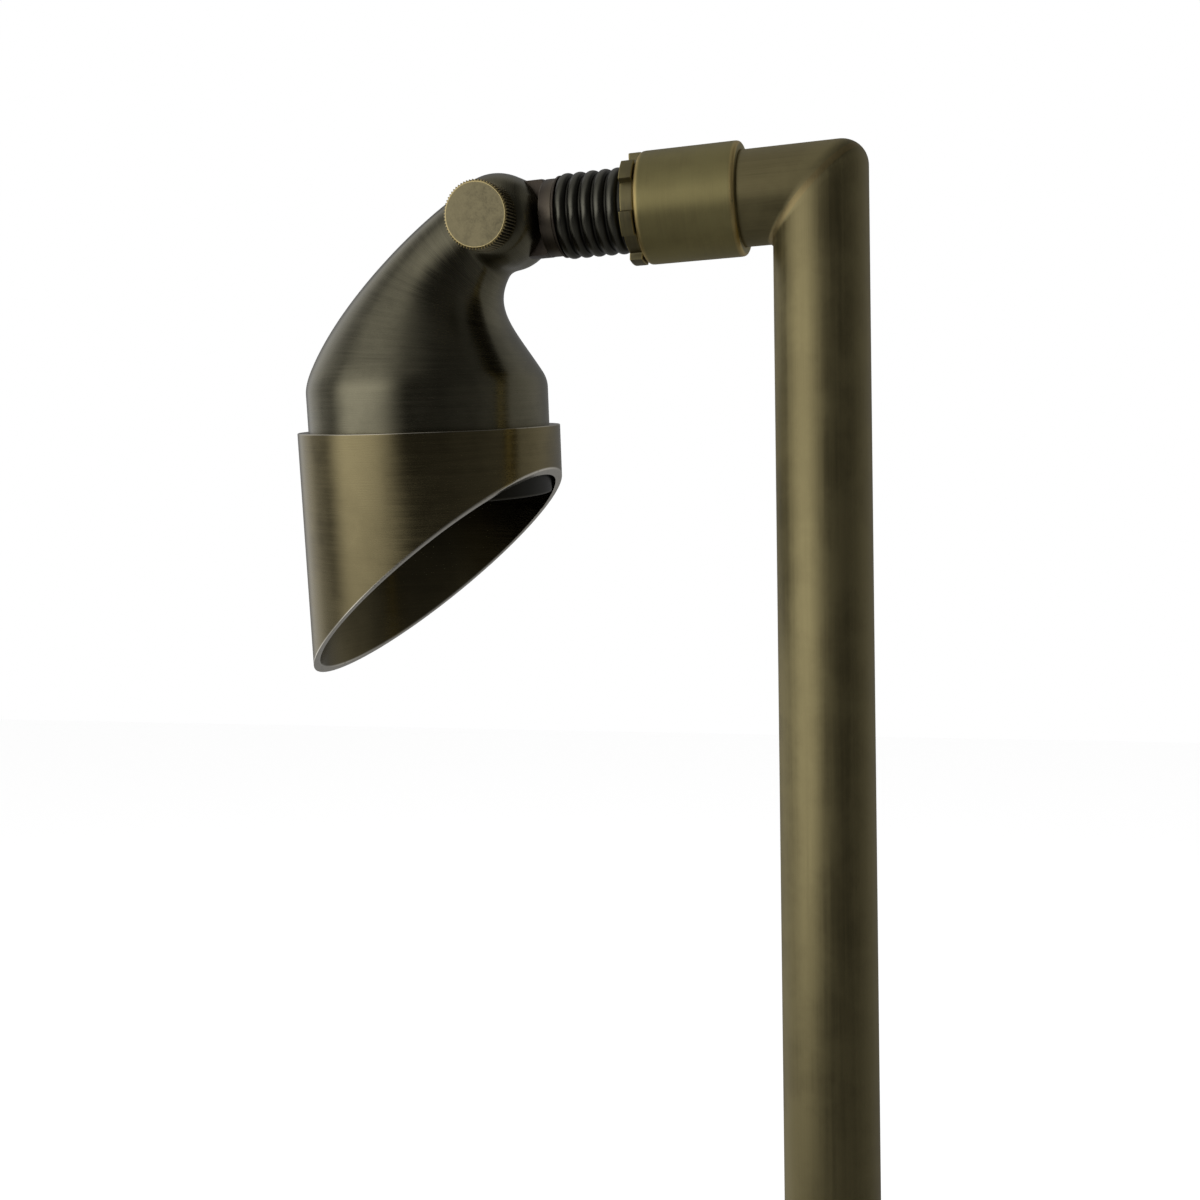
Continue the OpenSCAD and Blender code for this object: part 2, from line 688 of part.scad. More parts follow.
module friction_washers() {
    color([0.75, 0.73, 0.66]) in_head() for (side = [0, 1]) mirror([0, side, 0]) difference() {
        pivot_bar(slot_w / 2 - friction_washer_t - seat_gap, slot_w / 2 - seat_gap, shoulder_r - face_gap);
        pivot_bar(0, slot_w, pivot_bore_r + run_gap);
    }
}

module thread_insert() {
    color([0.7, 0.7, 0.7]) in_head() difference() {
        pivot_bar(-cheek_y, -insert_y - seat_gap, insert_r);
        pivot_bar(-cheek_y - over, 0, screw_r + run_gap);
    }
}

module head_wires() {
    socket_x = head_offset - socket_d / 2;
    entry_z = -socket_start - entry_share * socket_h;
    bend_x = way_x + bend_share * (socket_x - way_x);
    color([0.08, 0.08, 0.08]) in_head() for (side = [-1, 1]) {
        y = side * wire_side_share * wire_d;
        wire([[-way_x - wire_d, y, -wire_d], [-way_x, y, -roof_drop / 2], [-way_x, y, -roof_drop],
            [-bend_x, y, entry_z + wire_d / 2], [-socket_x + seat_gap, y, entry_z]], [0, 1, 0]);
    }
}

module lamp_socket() {
    color([0.9, 0.88, 0.82]) in_socket() difference() {
        translate([-socket_w / 2, -socket_d / 2, -socket_end]) cube([socket_w, socket_d, socket_h]);
        for (side = [-1, 1]) {
            translate([side * pin_gap / 2, 0, -socket_end - over])
                cylinder(r = pin_d / 2 + run_gap, h = pin_l + over, $fn = 32);
            translate([side * socket_screw_x, 0, -socket_end - over])
                cylinder(r = socket_screw_d / 2 + run_gap, h = socket_h + 2 * over, $fn = 32);
            translate([side * socket_screw_x, 0, -socket_end - over])
                cylinder(r = socket_screw_d - run_gap, h = socket_screw_d / 2 + over, $fn = 32);
        }
    }
}

module socket_screws() {
    head_h = socket_screw_d / 2 - run_gap;
    color([0.7, 0.7, 0.7]) in_socket() for (side = [-1, 1]) translate([side * socket_screw_x, 0, 0]) {
        drum(roof_drop - socket_screw_l, socket_end - head_h / 2, socket_screw_d / 2);
        drum(socket_end - head_h, socket_end - run_gap, socket_screw_d - 2 * run_gap);
    }
}

module lamp_base() {
    color([0.85, 0.84, 0.8]) in_socket()
        translate([-lamp_base_w / 2, -lamp_base_d / 2, -reflector_start + seat_gap])
        cube([lamp_base_w, lamp_base_d, lamp_base_h - seat_gap]);
}

module lamp_pins() {
    color([0.75, 0.75, 0.75]) in_socket() for (side = [-1, 1]) translate([side * pin_gap / 2, 0, 0])
        drum(socket_end - pin_l + run_gap, lamp_base_start - seat_gap, pin_d / 2, $fn = 32);
}

// Half outline of the reflector's shell, offset inwards by its wall
function bowl(wall) = let(r0 = reflector_neck_share * lamp_r, h = reflector_h - lamp_rim_t)
    [for (k = [0:8]) let(u = k / 8) [r0 + (lamp_r - r0) * pow(u, reflector_bulge_share) - wall, -h * u]];

module lamp_reflector() {
    h = reflector_h - lamp_rim_t;
    outer = bowl(0);
    inner = bowl(reflector_wall);
    outline = concat([[0, 0]], outer, [[lamp_r, -reflector_h], [lamp_r - reflector_wall, -reflector_h]],
        [for (k = [8:-1:1]) inner[k]], [[inner[0][0], -reflector_wall], [0, -reflector_wall]]);
    color([0.85, 0.86, 0.88, 0.6]) in_bell() translate([0, 0, -reflector_start]) rotate_extrude()
        polygon(outline);
}

module lamp_capsule() {
    top = reflector_start + reflector_wall + seat_gap;
    color([0.95, 0.95, 0.9, 0.5]) in_bell() {
        drum(top, top + capsule_l - capsule_d / 2, capsule_d / 2);
        translate([0, 0, -top - capsule_l + capsule_d / 2]) sphere(r = capsule_d / 2);
    }
}

module lamp_cover() {
    color([0.85, 0.9, 0.92, 0.4]) in_bell()
        drum(rim_start + seat_gap, lamp_end - seat_gap, lamp_r - reflector_wall - seat_gap);
}

module lamp_retainer() {
    color([0.12, 0.12, 0.12]) in_bell()
        band(lamp_end - retainer_h, lamp_end, bell_bore_r - seat_gap, lamp_r + seat_gap);
}

module lens_gasket() {
    color([0.1, 0.1, 0.1]) in_bell() band(gasket_start, lens_start - seat_gap, lens_r, lens_open_r);
}

module lens_glass() {
    color([0.8, 0.88, 0.9, 0.4]) in_bell() drum(lens_start, lens_end, lens_r);
}

module lens_ring() {
    color([0.2, 0.18, 0.14]) in_bell() difference() {
        union() {
            drum(lens_ring_start, lens_ring_end, band_r - run_gap);
            drum(skirt_start, lens_ring_start + over, skirt_r);
        }
        drum(skirt_start - over, lens_ring_end + over, lens_open_r);
        drum(gasket_start - seat_gap, lens_end + seat_gap, lens_r + seat_gap);
    }
}

module body_o_rings() {
    color([0.06, 0.06, 0.06]) in_bell() for (drop = ring_drops) translate([0, 0, -drop]) rotate_extrude()
        translate([band_r + run_gap - ring_r, 0]) circle(r = ring_r, $fn = 32);
}

module shroud() {
    low = shroud_top + shroud_axis_l;
    reach = 6 * shroud_r;
    color([0.4, 0.35, 0.23]) in_bell() difference() {
        drum(shroud_top, shroud_top + shroud_long, shroud_r);
        drum(shroud_top - over, low + shroud_long, shroud_bore_r);
        drum(shroud_top + shroud_collar_h, low + shroud_long, shroud_inner_r);
        translate([0, 0, -low]) rotate([0, 0, -shroud_turn]) rotate([0, -cut_angle, 0])
            translate([-reach, -reach, -2 * reach]) cube(2 * reach);
    }
}

module knob_washer() {
    color([0.6, 0.58, 0.5]) in_head() difference() {
        pivot_bar(knob_washer_y, knob_washer_y + knob_washer_t, knob_washer_d / 2);
        pivot_bar(0, 2 * knob_y, pivot_bore_r + run_gap);
    }
}

module thumb_knob() {
    r0 = knob_r - knurl_depth;
    face_r = r0 - run_gap;
    teeth = [for (k = [0:knurl_teeth - 1], q = [[0, r0], [0.5, knob_r]])
        q[1] * [cos(360 * (k + q[0]) / knurl_teeth), sin(360 * (k + q[0]) / knurl_teeth)]];
    color([0.5, 0.46, 0.32]) in_head() difference() {
        translate([0, -knob_y, 0]) rotate([90, 0, 0]) union() {
            linear_extrude(knob_t - knob_chamfer) polygon(teeth);
            rotate_extrude() polygon([[0, knob_t / 2], [face_r, knob_t / 2], [face_r, knob_t - knob_chamfer],
                [face_r - knob_chamfer, knob_t], [0, knob_t]]);
        }
        pivot_bar(0, knob_y + knob_t / 2, pivot_r + seat_gap);
    }
}

module thumb_stud() {
    color([0.65, 0.65, 0.65]) in_head() {
        pivot_bar(-stud_shoulder_y, knob_y + knob_t / 2 - seat_gap, pivot_r);
        pivot_bar(-stud_end_y, 0, screw_r);
    }
}

post_tube();
arm_tube();
elbow_braze();
foot_bushing();
foot_grommet();
supply_lead();
coupler_collar();
arm_seal();
knuckle_stem();
ribbed_boot();
boot_washer();
stem_o_ring();
stem_wires();
locknut();
neck_housing();
friction_washers();
thread_insert();
head_wires();
lamp_socket();
socket_screws();
lamp_base();
lamp_pins();
lamp_reflector();
lamp_capsule();
lamp_cover();
lamp_retainer();
lens_gasket();
lens_glass();
lens_ring();
body_o_rings();
shroud();
knob_washer();
thumb_knob();
thumb_stud();
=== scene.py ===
# Looks of a bent-tube path light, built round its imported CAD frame.
# Lengths in the dictionaries are millimetres; the origin is on the post's axis at the foot's shoulder.
import bpy
import numpy as np
from mathutils import Matrix


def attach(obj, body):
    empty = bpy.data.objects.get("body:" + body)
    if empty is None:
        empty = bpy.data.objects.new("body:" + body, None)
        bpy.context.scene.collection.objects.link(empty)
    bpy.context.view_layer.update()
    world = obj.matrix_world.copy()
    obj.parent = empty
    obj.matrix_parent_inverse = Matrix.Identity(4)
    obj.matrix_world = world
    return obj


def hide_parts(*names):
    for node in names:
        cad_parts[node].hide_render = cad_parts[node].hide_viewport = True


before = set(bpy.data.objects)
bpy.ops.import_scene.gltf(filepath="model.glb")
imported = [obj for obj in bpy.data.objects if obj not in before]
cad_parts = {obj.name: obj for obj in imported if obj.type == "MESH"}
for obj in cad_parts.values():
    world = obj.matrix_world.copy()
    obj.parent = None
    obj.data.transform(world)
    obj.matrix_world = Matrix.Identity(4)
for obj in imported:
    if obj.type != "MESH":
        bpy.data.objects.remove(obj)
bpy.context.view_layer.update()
print("frame loaded:", len(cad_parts), "nodes")

mm = 0.001
cornerSteps = 5
cornerRows = cornerSteps + 3  # rows that each rounded corner takes in an outline
post = {"radius": 11.1, "wall": 2.1, "armHeight": 445.0, "armEnd": 24.48, "footTop": 3.0, "outerRound": 6.0,
        "innerRound": 1.4, "roundFall": 1.3, "beadHalf": 0.75, "beadMost": 0.32, "beadLift": 0.1,
        "columns": 224, "rows": 40, "bendRows": 10, "beadRows": 9, "armRows": 12}
head = {"pivot": 78.8, "roll": 9.0, "lean": 1.5, "offset": 23.1}


# Placement: rotations about the axes, in degrees, and the frames that part.scad uses

def turned(axis, degrees):
    return Matrix.Rotation(np.radians(degrees), 4, axis)


def raised(height):
    return Matrix.Translation((0, 0, height))


def alongArm(distance):  # +Z of the piece points from the post to the head
    return Matrix.Translation((-distance, 0, post["armHeight"])) @ turned("Y", -90)


stemPlace = Matrix.Translation((-head["pivot"], 0, post["armHeight"])) @ turned("X", head["roll"])
headPlace = stemPlace @ turned("Y", head["lean"])
bellPlace = headPlace @ Matrix.Translation((-head["offset"], 0, 0))
knobPlace = headPlace @ turned("X", 90)  # +Z of the piece points out along the thumb screw


# Surfaces on grids

def fullTurn(count):
    return np.linspace(0, 2 * np.pi, count, endpoint=False)


def gridFaces(rows, columns, closedRows):
    """Quad (j, k) joins rows j and j + 1 and columns k and k + 1; columns always run round."""
    j = np.arange(rows if closedRows else rows - 1)[:, None]
    k = np.arange(columns)[None, :]
    nextRow, nextColumn = (j + 1) % rows, (k + 1) % columns
    return np.stack([j * columns + k, j * columns + nextColumn,
                     nextRow * columns + nextColumn, nextRow * columns + k], -1).reshape(-1, 4)


def roundCorners(corners, radii, hold=0.5, arcShare=0.42, holdShare=0.48):
    """Each corner P becomes the curve (1-s)^2 A + 2 s(1-s) P + s^2 B between the points A and B at its
    radius along both edges, with a holding point on either side. They lie within these shares of the
    edge. Wear is 4 s(1-s) on the curve, 0 beside it."""
    corners = np.asarray(corners, float)
    radii = np.broadcast_to(np.asarray(radii, float), corners.shape[:-1])
    towards = [np.roll(corners, shift, -2) - corners for shift in (1, -1)]
    ends, holds = [], []
    for edge in towards:
        length = np.linalg.norm(edge, axis=-1)
        unit = edge / np.maximum(length, 1e-9)[..., None]
        start = np.minimum(radii, arcShare * length)
        ends.append(corners + unit * start[..., None])
        holds.append(corners + unit * np.minimum(start + hold, holdShare * length)[..., None])
    s = np.linspace(0, 1, cornerSteps + 1)[:, None]
    a, b, p = ends[0][..., None, :], ends[1][..., None, :], corners[..., None, :]
    arc = (1 - s) ** 2 * a + 2 * s * (1 - s) * p + s ** 2 * b
    full = np.concatenate([holds[0][..., None, :], arc, holds[1][..., None, :]], -2)
    wear = np.concatenate([[0], (4 * s * (1 - s))[:, 0], [0]])
    count = corners.shape[-2]
    return full.reshape(*corners.shape[:-2], count * cornerRows, 2), np.tile(wear, count)


def lathe(profile, count=160):
    """Point (j, k) is profile radius j turned by angle 2 pi k / count about +Z, at profile height j."""
    turn = fullTurn(count)
    r, z = profile[:, :1], profile[:, 1:]
    return np.stack([r * np.cos(turn), r * np.sin(turn), z + 0 * turn], -1)


def addObject(name, data):
    item = bpy.data.objects.new(name, data)
    bpy.context.scene.collection.objects.link(item)
    return item


def perPoint(values, rows, columns):
    """Values for the rows, for the whole grid, or none, as one value for each point."""
    values = np.zeros(rows) if values is None else values
    return np.repeat(values, columns) if values.ndim == 1 else values.ravel()


def buildPiece(name, grid, place, body, node, material, wear=None, lines="round",
               grain=None, closedRows=True, sharp=32, inner=None):
    """Grid (rows, columns, 3) in the piece's frame becomes a closed mesh: rows joined back to the first,
    or a fan to the middle of the first and the last row. Lines give the brushing: round or along."""
    rows, columns = grid.shape[:2]
    points = grid.reshape(-1, 3)
    quads = gridFaces(rows, columns, closedRows)
    fans = np.zeros((0, 3), int)
    brush = np.gradient(grid, axis=0) if lines == "along" else np.roll(grid, -1, 1) - np.roll(grid, 1, 1)
    brush = brush.reshape(-1, 3)
    local = points if grain is None else grain.reshape(-1, 3)
    # worn carries edge wear; inside carries painted shade, a share of near black in brassFinish.
    worn, inside = perPoint(wear, rows, columns), perPoint(inner, rows, columns)
    if not closedRows:
        k = np.arange(columns)
        nextColumn, lastRow = (k + 1) % columns, (rows - 1) * columns
        first, second = (np.full(columns, len(points) + i) for i in range(2))
        fans = np.concatenate([np.stack([first, nextColumn, k], -1),
                               np.stack([second, lastRow + k, lastRow + nextColumn], -1)])
        points = np.concatenate([points, np.stack([grid[0].mean(0), grid[-1].mean(0)])])
        brush = np.concatenate([brush, np.tile([1.0, 0, 0], (2, 1))])
        local = np.concatenate([local, np.stack([local[:columns].mean(0), local[-columns:].mean(0)])])
        worn = np.concatenate([worn, np.zeros(2)])
        inside = np.concatenate([inside, inside[[0, -1]]])
    triangles = np.concatenate([quads[:, [0, 1, 2]], quads[:, [0, 2, 3]], fans])
    a, b, c = (points[triangles[:, i]] for i in range(3))
    if (a * np.cross(b, c)).sum() < 0:  # the signed volume says whether the faces point outwards
        quads, fans = quads[:, ::-1], fans[:, ::-1]
    turn = np.array(place)[:3, :3]
    world = points @ turn.T + np.array(place)[:3, 3]
    loops = np.concatenate([quads.ravel(), fans.ravel()])
    starts = np.concatenate([np.arange(len(quads)) * 4, len(quads) * 4 + np.arange(len(fans)) * 3])
    mesh = bpy.data.meshes.new(name)
    mesh.vertices.add(len(world))
    mesh.vertices.foreach_set("co", (world * mm).astype(np.float32).ravel())
    mesh.loops.add(len(loops))
    mesh.loops.foreach_set("vertex_index", loops.astype(np.int32))
    mesh.polygons.add(len(starts))
    mesh.polygons.foreach_set("loop_start", starts.astype(np.int32))
    mesh.update(calc_edges=True)
    mesh.validate()
    mesh.shade_smooth()
    mesh.set_sharp_from_angle(angle=np.radians(sharp))
    brush = brush @ turn.T
    brush /= np.maximum(np.linalg.norm(brush, axis=1), 1e-9)[:, None]
    for label, kind, field, values in (("grain", "FLOAT_VECTOR", "vector", local),
                                       ("brush", "FLOAT_VECTOR", "vector", brush),
                                       ("wear", "FLOAT", "value", worn), ("inner", "FLOAT", "value", inside)):
        layer = mesh.attributes.new(label, kind, "POINT")
        layer.data.foreach_set(field, values.astype(np.float32).ravel())
    piece = addObject(name, mesh)
    mesh.materials.append(material)
    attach(piece, body)
    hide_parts(node)
    return piece


def turnedPiece(name, corners, radii, place, body, node, material, count=160):
    """A closed outline of radius and height, its corners rounded, turned about +Z."""
    profile, wear = roundCorners(corners, radii)
    return buildPiece(name, lathe(profile, count), place, body, node, material, wear)


# Node helpers and the shared effects

def feed(tree, node, values):
    """A value that is a socket is linked, and any other one is written into the node's socket."""
    for socket, value in values.items():
        if hasattr(value, "is_linked"):
            tree.links.new(value, node.inputs[socket])
        else:
            node.inputs[socket].default_value = value
    return node


def addNode(tree, kind, values=None, **settings):
    node = tree.nodes.new(kind)
    for key, value in settings.items():
        setattr(node, key, value)
    return feed(tree, node, values or {})


def mathNode(tree, operation, a, b, clamp=False):
    return addNode(tree, "ShaderNodeMath", {0: a, 1: b}, operation=operation, use_clamp=clamp).outputs[0]


def times(tree, a, b, clamp=False):
    return mathNode(tree, "MULTIPLY", a, b, clamp)


def plus(tree, a, b, clamp=False):
    return mathNode(tree, "ADD", a, b, clamp)


def weighted(tree, a, b, shareA, shareB):
    return plus(tree, times(tree, a, shareA), times(tree, b, shareB))


def ramped(tree, source, low, high, start=0.0, end=1.0):
    values = {0: source, 1: low, 2: high, 3: start, 4: end}
    return addNode(tree, "ShaderNodeMapRange", values, interpolation_type="SMOOTHSTEP").outputs[0]


def mixed(tree, factor, a, b):
    return addNode(tree, "ShaderNodeMix", {0: factor, 6: a, 7: b}, data_type="RGBA").outputs[2]


def scaled(tree, vector, scale):
    return addNode(tree, "ShaderNodeVectorMath", {0: vector, 1: scale}, operation="MULTIPLY").outputs[0]


def noise(tree, vector, scale, detail=4.0, roughness=0.55):
    """Noise of the vector times the scale, which is three numbers or a socket."""
    values = {"Vector": scaled(tree, vector, scale), "Scale": 1.0, "Detail": detail, "Roughness": roughness}
    return addNode(tree, "ShaderNodeTexNoise", values).outputs["Fac"]


def attribute(tree, name, output):
    return addNode(tree, "ShaderNodeAttribute", attribute_name=name).outputs[output]


def objectVector(tree, scale):
    place = addNode(tree, "ShaderNodeTexCoord").outputs["Object"]
    return addNode(tree, "ShaderNodeMapping", {"Vector": place, "Scale": (scale, scale, scale)}).outputs[0]


def bumped(tree, height, strength, depth):
    values = {"Height": height, "Strength": strength, "Distance": depth * mm}
    return addNode(tree, "ShaderNodeBump", values).outputs[0]


def newGroup(name, inputs, outputs):
    """A node group. Inputs and outputs name the sockets of each kind."""
    group = bpy.data.node_groups.new(name, "ShaderNodeTree")
    for side, sockets in (("INPUT", inputs), ("OUTPUT", outputs)):
        for kind, labels in sockets.items():
            for label in labels:
                group.interface.new_socket(label, in_out=side, socket_type=kind)
    return group, group.nodes.new("NodeGroupInput"), group.nodes.new("NodeGroupOutput")


# Brushing: fine and broad streaks, long in the direction where the scale is small
streaks = {"broad": (0.23, 0.23, 0.23), "height": (0.65, 0.35), "tone": (0.5, 0.5), "range": (0.36, 0.64)}
brushing, into, out = newGroup("brushing", {"NodeSocketVector": ("Vector", "Scale")},
                               {"NodeSocketFloat": ("Height", "Tone")})
vector, scale = into.outputs["Vector"], into.outputs["Scale"]
fine = noise(brushing, vector, scale, 3.0, 0.7)
broad = noise(brushing, vector, scaled(brushing, scale, streaks["broad"]), 3.0, 0.6)
tone = ramped(brushing, weighted(brushing, fine, broad, *streaks["tone"]), *streaks["range"])
feed(brushing, out, {"Height": weighted(brushing, fine, broad, *streaks["height"]), "Tone": tone})

# Patina: clouds of the dark colour in the base, streaks towards the bright one, gold where the edge is worn,
# which on the shroud's cut lip is partly a painted highlight
# Inside is the colour of painted shade: hollows, bores and knurl grooves are mixed to this near black.
tarnishAndShade = {"cloudScale": (0.07, 0.07, 0.07), "cloud": (0.36, 0.62), "speckScale": (1.9, 1.9, 1.9),
           "speck": (0.62, 0.74), "speckShare": 0.15, "chipScale": (0.8, 0.8, 0.8), "chip": (0.1, 0.45),
           "rough": (0.16, -0.12), "toneRough": 0.08, "roughDrop": 0.12, "bump": 0.6,
           "inside": (0.018, 0.0185, 0.0155, 1)}
patina, into, out = newGroup("patina", {"NodeSocketVector": ("Vector",),
                                        "NodeSocketFloat": ("Tone", "Wear", "Streak", "Rub"),
                                        "NodeSocketColor": ("Base", "Dark", "Bright", "Gold")},
                             {"NodeSocketColor": ("Color",), "NodeSocketFloat": ("Rough",)})
vector = into.outputs["Vector"]
cloud = noise(patina, vector, tarnishAndShade["cloudScale"], 4.0, 0.6)
speck = ramped(patina, noise(patina, vector, tarnishAndShade["speckScale"], 2.0, 0.7), *tarnishAndShade["speck"])
tone = times(patina, into.outputs["Tone"], into.outputs["Streak"])
colour = mixed(patina, ramped(patina, cloud, *tarnishAndShade["cloud"]), into.outputs["Dark"], into.outputs["Base"])
colour = mixed(patina, tone, colour, into.outputs["Bright"])
colour = mixed(patina, times(patina, speck, tarnishAndShade["speckShare"]), colour, into.outputs["Dark"])
chips = ramped(patina, noise(patina, vector, tarnishAndShade["chipScale"], 3.0, 0.6), *tarnishAndShade["chip"])
worn = times(patina, times(patina, into.outputs["Wear"], into.outputs["Rub"]), chips, True)
feed(patina, out, {"Color": mixed(patina, worn, colour, into.outputs["Gold"]),
                   "Rough": weighted(patina, cloud, worn, *tarnishAndShade["rough"])})
print("shared effects made")


# Materials

def newMaterial(name):
    material = bpy.data.materials.new(name)
    material.use_nodes = True
    return material, material.node_tree, material.node_tree.nodes["Principled BSDF"]


def brassFinish(name, base, dark, bright, gold=(0.5, 0.38, 0.14, 1), scale=(0.12, 0.12, 6.0), roughness=0.36,
                streak=0.35, rub=0.8, lines=0.8, depth=0.012):
    """Brushed brass under a patina, with painted shade near black in hollows and knurl grooves. The brushing's
    scale is small along its lines; lines is how much the highlight spreads across them."""
    material, tree, shader = newMaterial(name)
    lay = addNode(tree, "ShaderNodeVectorTransform", {0: attribute(tree, "brush", "Vector")},
                  vector_type="VECTOR", convert_from="OBJECT", convert_to="WORLD")
    vector = attribute(tree, "grain", "Vector")
    grain = addNode(tree, "ShaderNodeGroup", {"Vector": vector, "Scale": scale}, node_tree=brushing)
    values = {"Vector": vector, "Tone": grain.outputs["Tone"], "Wear": attribute(tree, "wear", "Fac"),
              "Streak": streak, "Rub": rub, "Base": base, "Dark": dark, "Bright": bright, "Gold": gold}
    coat = addNode(tree, "ShaderNodeGroup", values, node_tree=patina)
    spread = plus(tree, coat.outputs["Rough"], times(tree, grain.outputs["Tone"], tarnishAndShade["toneRough"]))
    feed(tree, shader, {
        # Painted shade: the per-point shade share mixes the colour to near black.
        "Base Color": mixed(tree, attribute(tree, "inner", "Fac"), coat.outputs["Color"], tarnishAndShade["inside"]),
        "Roughness": plus(tree, spread, roughness - tarnishAndShade["roughDrop"], True),
        "Normal": bumped(tree, grain.outputs["Height"], tarnishAndShade["bump"], depth),
        "Metallic": 1.0, "Tangent": lay.outputs[0], "Anisotropic": lines,
        "Anisotropic Rotation": 0.25})  # the lines lie along the tangent
    return material


def plainFinish(name, base, other, roughness, size, depth, metallic=0.0, coat=0.0):
    """A clouded finish on Object coordinates: noise of the size in mm mixes two colours and lifts a bump."""
    material, tree, shader = newMaterial(name)
    vector = objectVector(tree, 1 / mm / size)
    cloud = noise(tree, vector, (1, 1, 1), 5.0, 0.6)
    feed(tree, shader, {
        "Base Color": mixed(tree, ramped(tree, cloud, 0.35, 0.65), base, other),
        "Roughness": ramped(tree, cloud, 0.3, 0.7, roughness - 0.06, roughness + 0.06),
        "Normal": bumped(tree, noise(tree, vector, (4, 4, 4), 3.0, 0.6), 0.5, depth),
        "Metallic": metallic, "Coat Weight": coat})
    return material


def glassFinish(name, base, roughness):
    material, tree, shader = newMaterial(name)
    cloud = noise(tree, objectVector(tree, 60), (1, 1, 1))
    feed(tree, shader, {"Roughness": ramped(tree, cloud, 0.3, 0.7, roughness, roughness + 0.03),
                        "Base Color": base, "IOR": 1.46, "Transmission Weight": 1.0})
    return material


alongPost = (5.5, 5.5, 0.05)
postBrass = brassFinish("postBrass", (0.31, 0.262, 0.13, 1), (0.24, 0.202, 0.10, 1), (0.38, 0.32, 0.16, 1),
                        scale=alongPost, roughness=0.38, lines=0.75, depth=0.008)
# Its near-white gold on the cut lip is partly bare brass and partly a painted highlight.
shroudBrass = brassFinish("shroudBrass", (0.24, 0.2, 0.105, 1), (0.185, 0.154, 0.08, 1),
                          (0.32, 0.265, 0.14, 1), gold=(0.9, 0.85, 0.74, 1), roughness=0.25,
                          depth=0.005, rub=1.0)
neckBrass = brassFinish("neckBrass", (0.20, 0.184, 0.125, 1), (0.15, 0.138, 0.094, 1), (0.27, 0.248, 0.17, 1),
                        roughness=0.27, depth=0.005)
collarBrass = brassFinish("collarBrass", (0.42, 0.365, 0.165, 1), (0.35, 0.30, 0.135, 1),
                          (0.51, 0.44, 0.20, 1), gold=(0.8, 0.6, 0.24, 1), roughness=0.52, lines=0.65)
ringBrass = brassFinish("ringBrass", (0.035, 0.034, 0.028, 1), (0.025, 0.024, 0.02, 1),
                        (0.05, 0.048, 0.04, 1), gold=(0.16, 0.15, 0.12, 1), roughness=0.5, lines=0.4, rub=0.5)
nutBrass = brassFinish("nutBrass", (0.25, 0.215, 0.11, 1), (0.16, 0.14, 0.08, 1), (0.33, 0.285, 0.14, 1),
                       gold=(0.5, 0.4, 0.15, 1), roughness=0.5, lines=0.3)
stemBrass = brassFinish("stemBrass", (0.12, 0.10, 0.08, 1), (0.085, 0.07, 0.057, 1), (0.17, 0.14, 0.11, 1),
                        gold=(0.26, 0.22, 0.16, 1), roughness=0.46, lines=0.4, rub=0.5)
knobBrass = brassFinish("knobBrass", (0.25, 0.215, 0.125, 1), (0.15, 0.13, 0.077, 1), (0.39, 0.335, 0.195, 1),
                        gold=(0.8, 0.64, 0.3, 1), scale=(2.2, 2.2, 2.2), roughness=0.42, lines=0.1,
                        streak=0.6, rub=1.0)
brazeBrass = brassFinish("brazeBrass", (0.36, 0.28, 0.13, 1), (0.27, 0.21, 0.10, 1), (0.46, 0.37, 0.17, 1),
                         scale=alongPost, roughness=0.4, lines=0.5)
footBrass = brassFinish("footBrass", (0.33, 0.27, 0.15, 1), (0.25, 0.2, 0.11, 1), (0.42, 0.34, 0.19, 1),
                        roughness=0.42)
bootRubber = brassFinish("bootRubber", (0.055, 0.053, 0.043, 1), (0.046, 0.044, 0.036, 1),
                         (0.07, 0.067, 0.055, 1), gold=(0.15, 0.145, 0.115, 1), roughness=0.36, lines=0.2,
                         rub=0.7, depth=0.006)
sealRubber = plainFinish("sealRubber", (0.03, 0.03, 0.03, 1), (0.05, 0.05, 0.048, 1), 0.7, 2.0, 0.02)
jacket = plainFinish("jacket", (0.04, 0.04, 0.04, 1), (0.055, 0.055, 0.055, 1), 0.55, 3.0, 0.02)
nylon = plainFinish("nylon", (0.72, 0.7, 0.62, 1), (0.8, 0.78, 0.7, 1), 0.5, 3.0, 0.01)
blackPlastic = plainFinish("blackPlastic", (0.035, 0.035, 0.035, 1), (0.05, 0.05, 0.05, 1), 0.5, 2.0, 0.02)
ceramic = plainFinish("ceramic", (0.84, 0.81, 0.74, 1), (0.9, 0.88, 0.82, 1), 0.35, 4.0, 0.02, coat=0.4)
brightSteel = plainFinish("brightSteel", (0.5, 0.5, 0.5, 1), (0.62, 0.62, 0.6, 1), 0.3, 0.6, 0.006,
                          metallic=1.0)
darkSteel = plainFinish("darkSteel", (0.16, 0.148, 0.105, 1), (0.2, 0.184, 0.13, 1), 0.38, 0.6, 0.004,
                        metallic=1.0)
reflectorGlass = plainFinish("reflectorGlass", (0.78, 0.8, 0.84, 1), (0.86, 0.86, 0.88, 1), 0.14, 5.0, 0.3,
                             metallic=1.0, coat=0.5)
clearGlass = glassFinish("clearGlass", (0.9, 0.95, 0.95, 1), 0.02)
capsuleGlass = glassFinish("capsuleGlass", (0.96, 0.95, 0.9, 1), 0.2)
print("materials made:", len(bpy.data.materials))


# Post and arm: line t runs up the post at (R cos t, R sin t) and turns towards -X at the same height over
# the arm's axis, on an arc whose radius falls from the outer corner to the inner one.

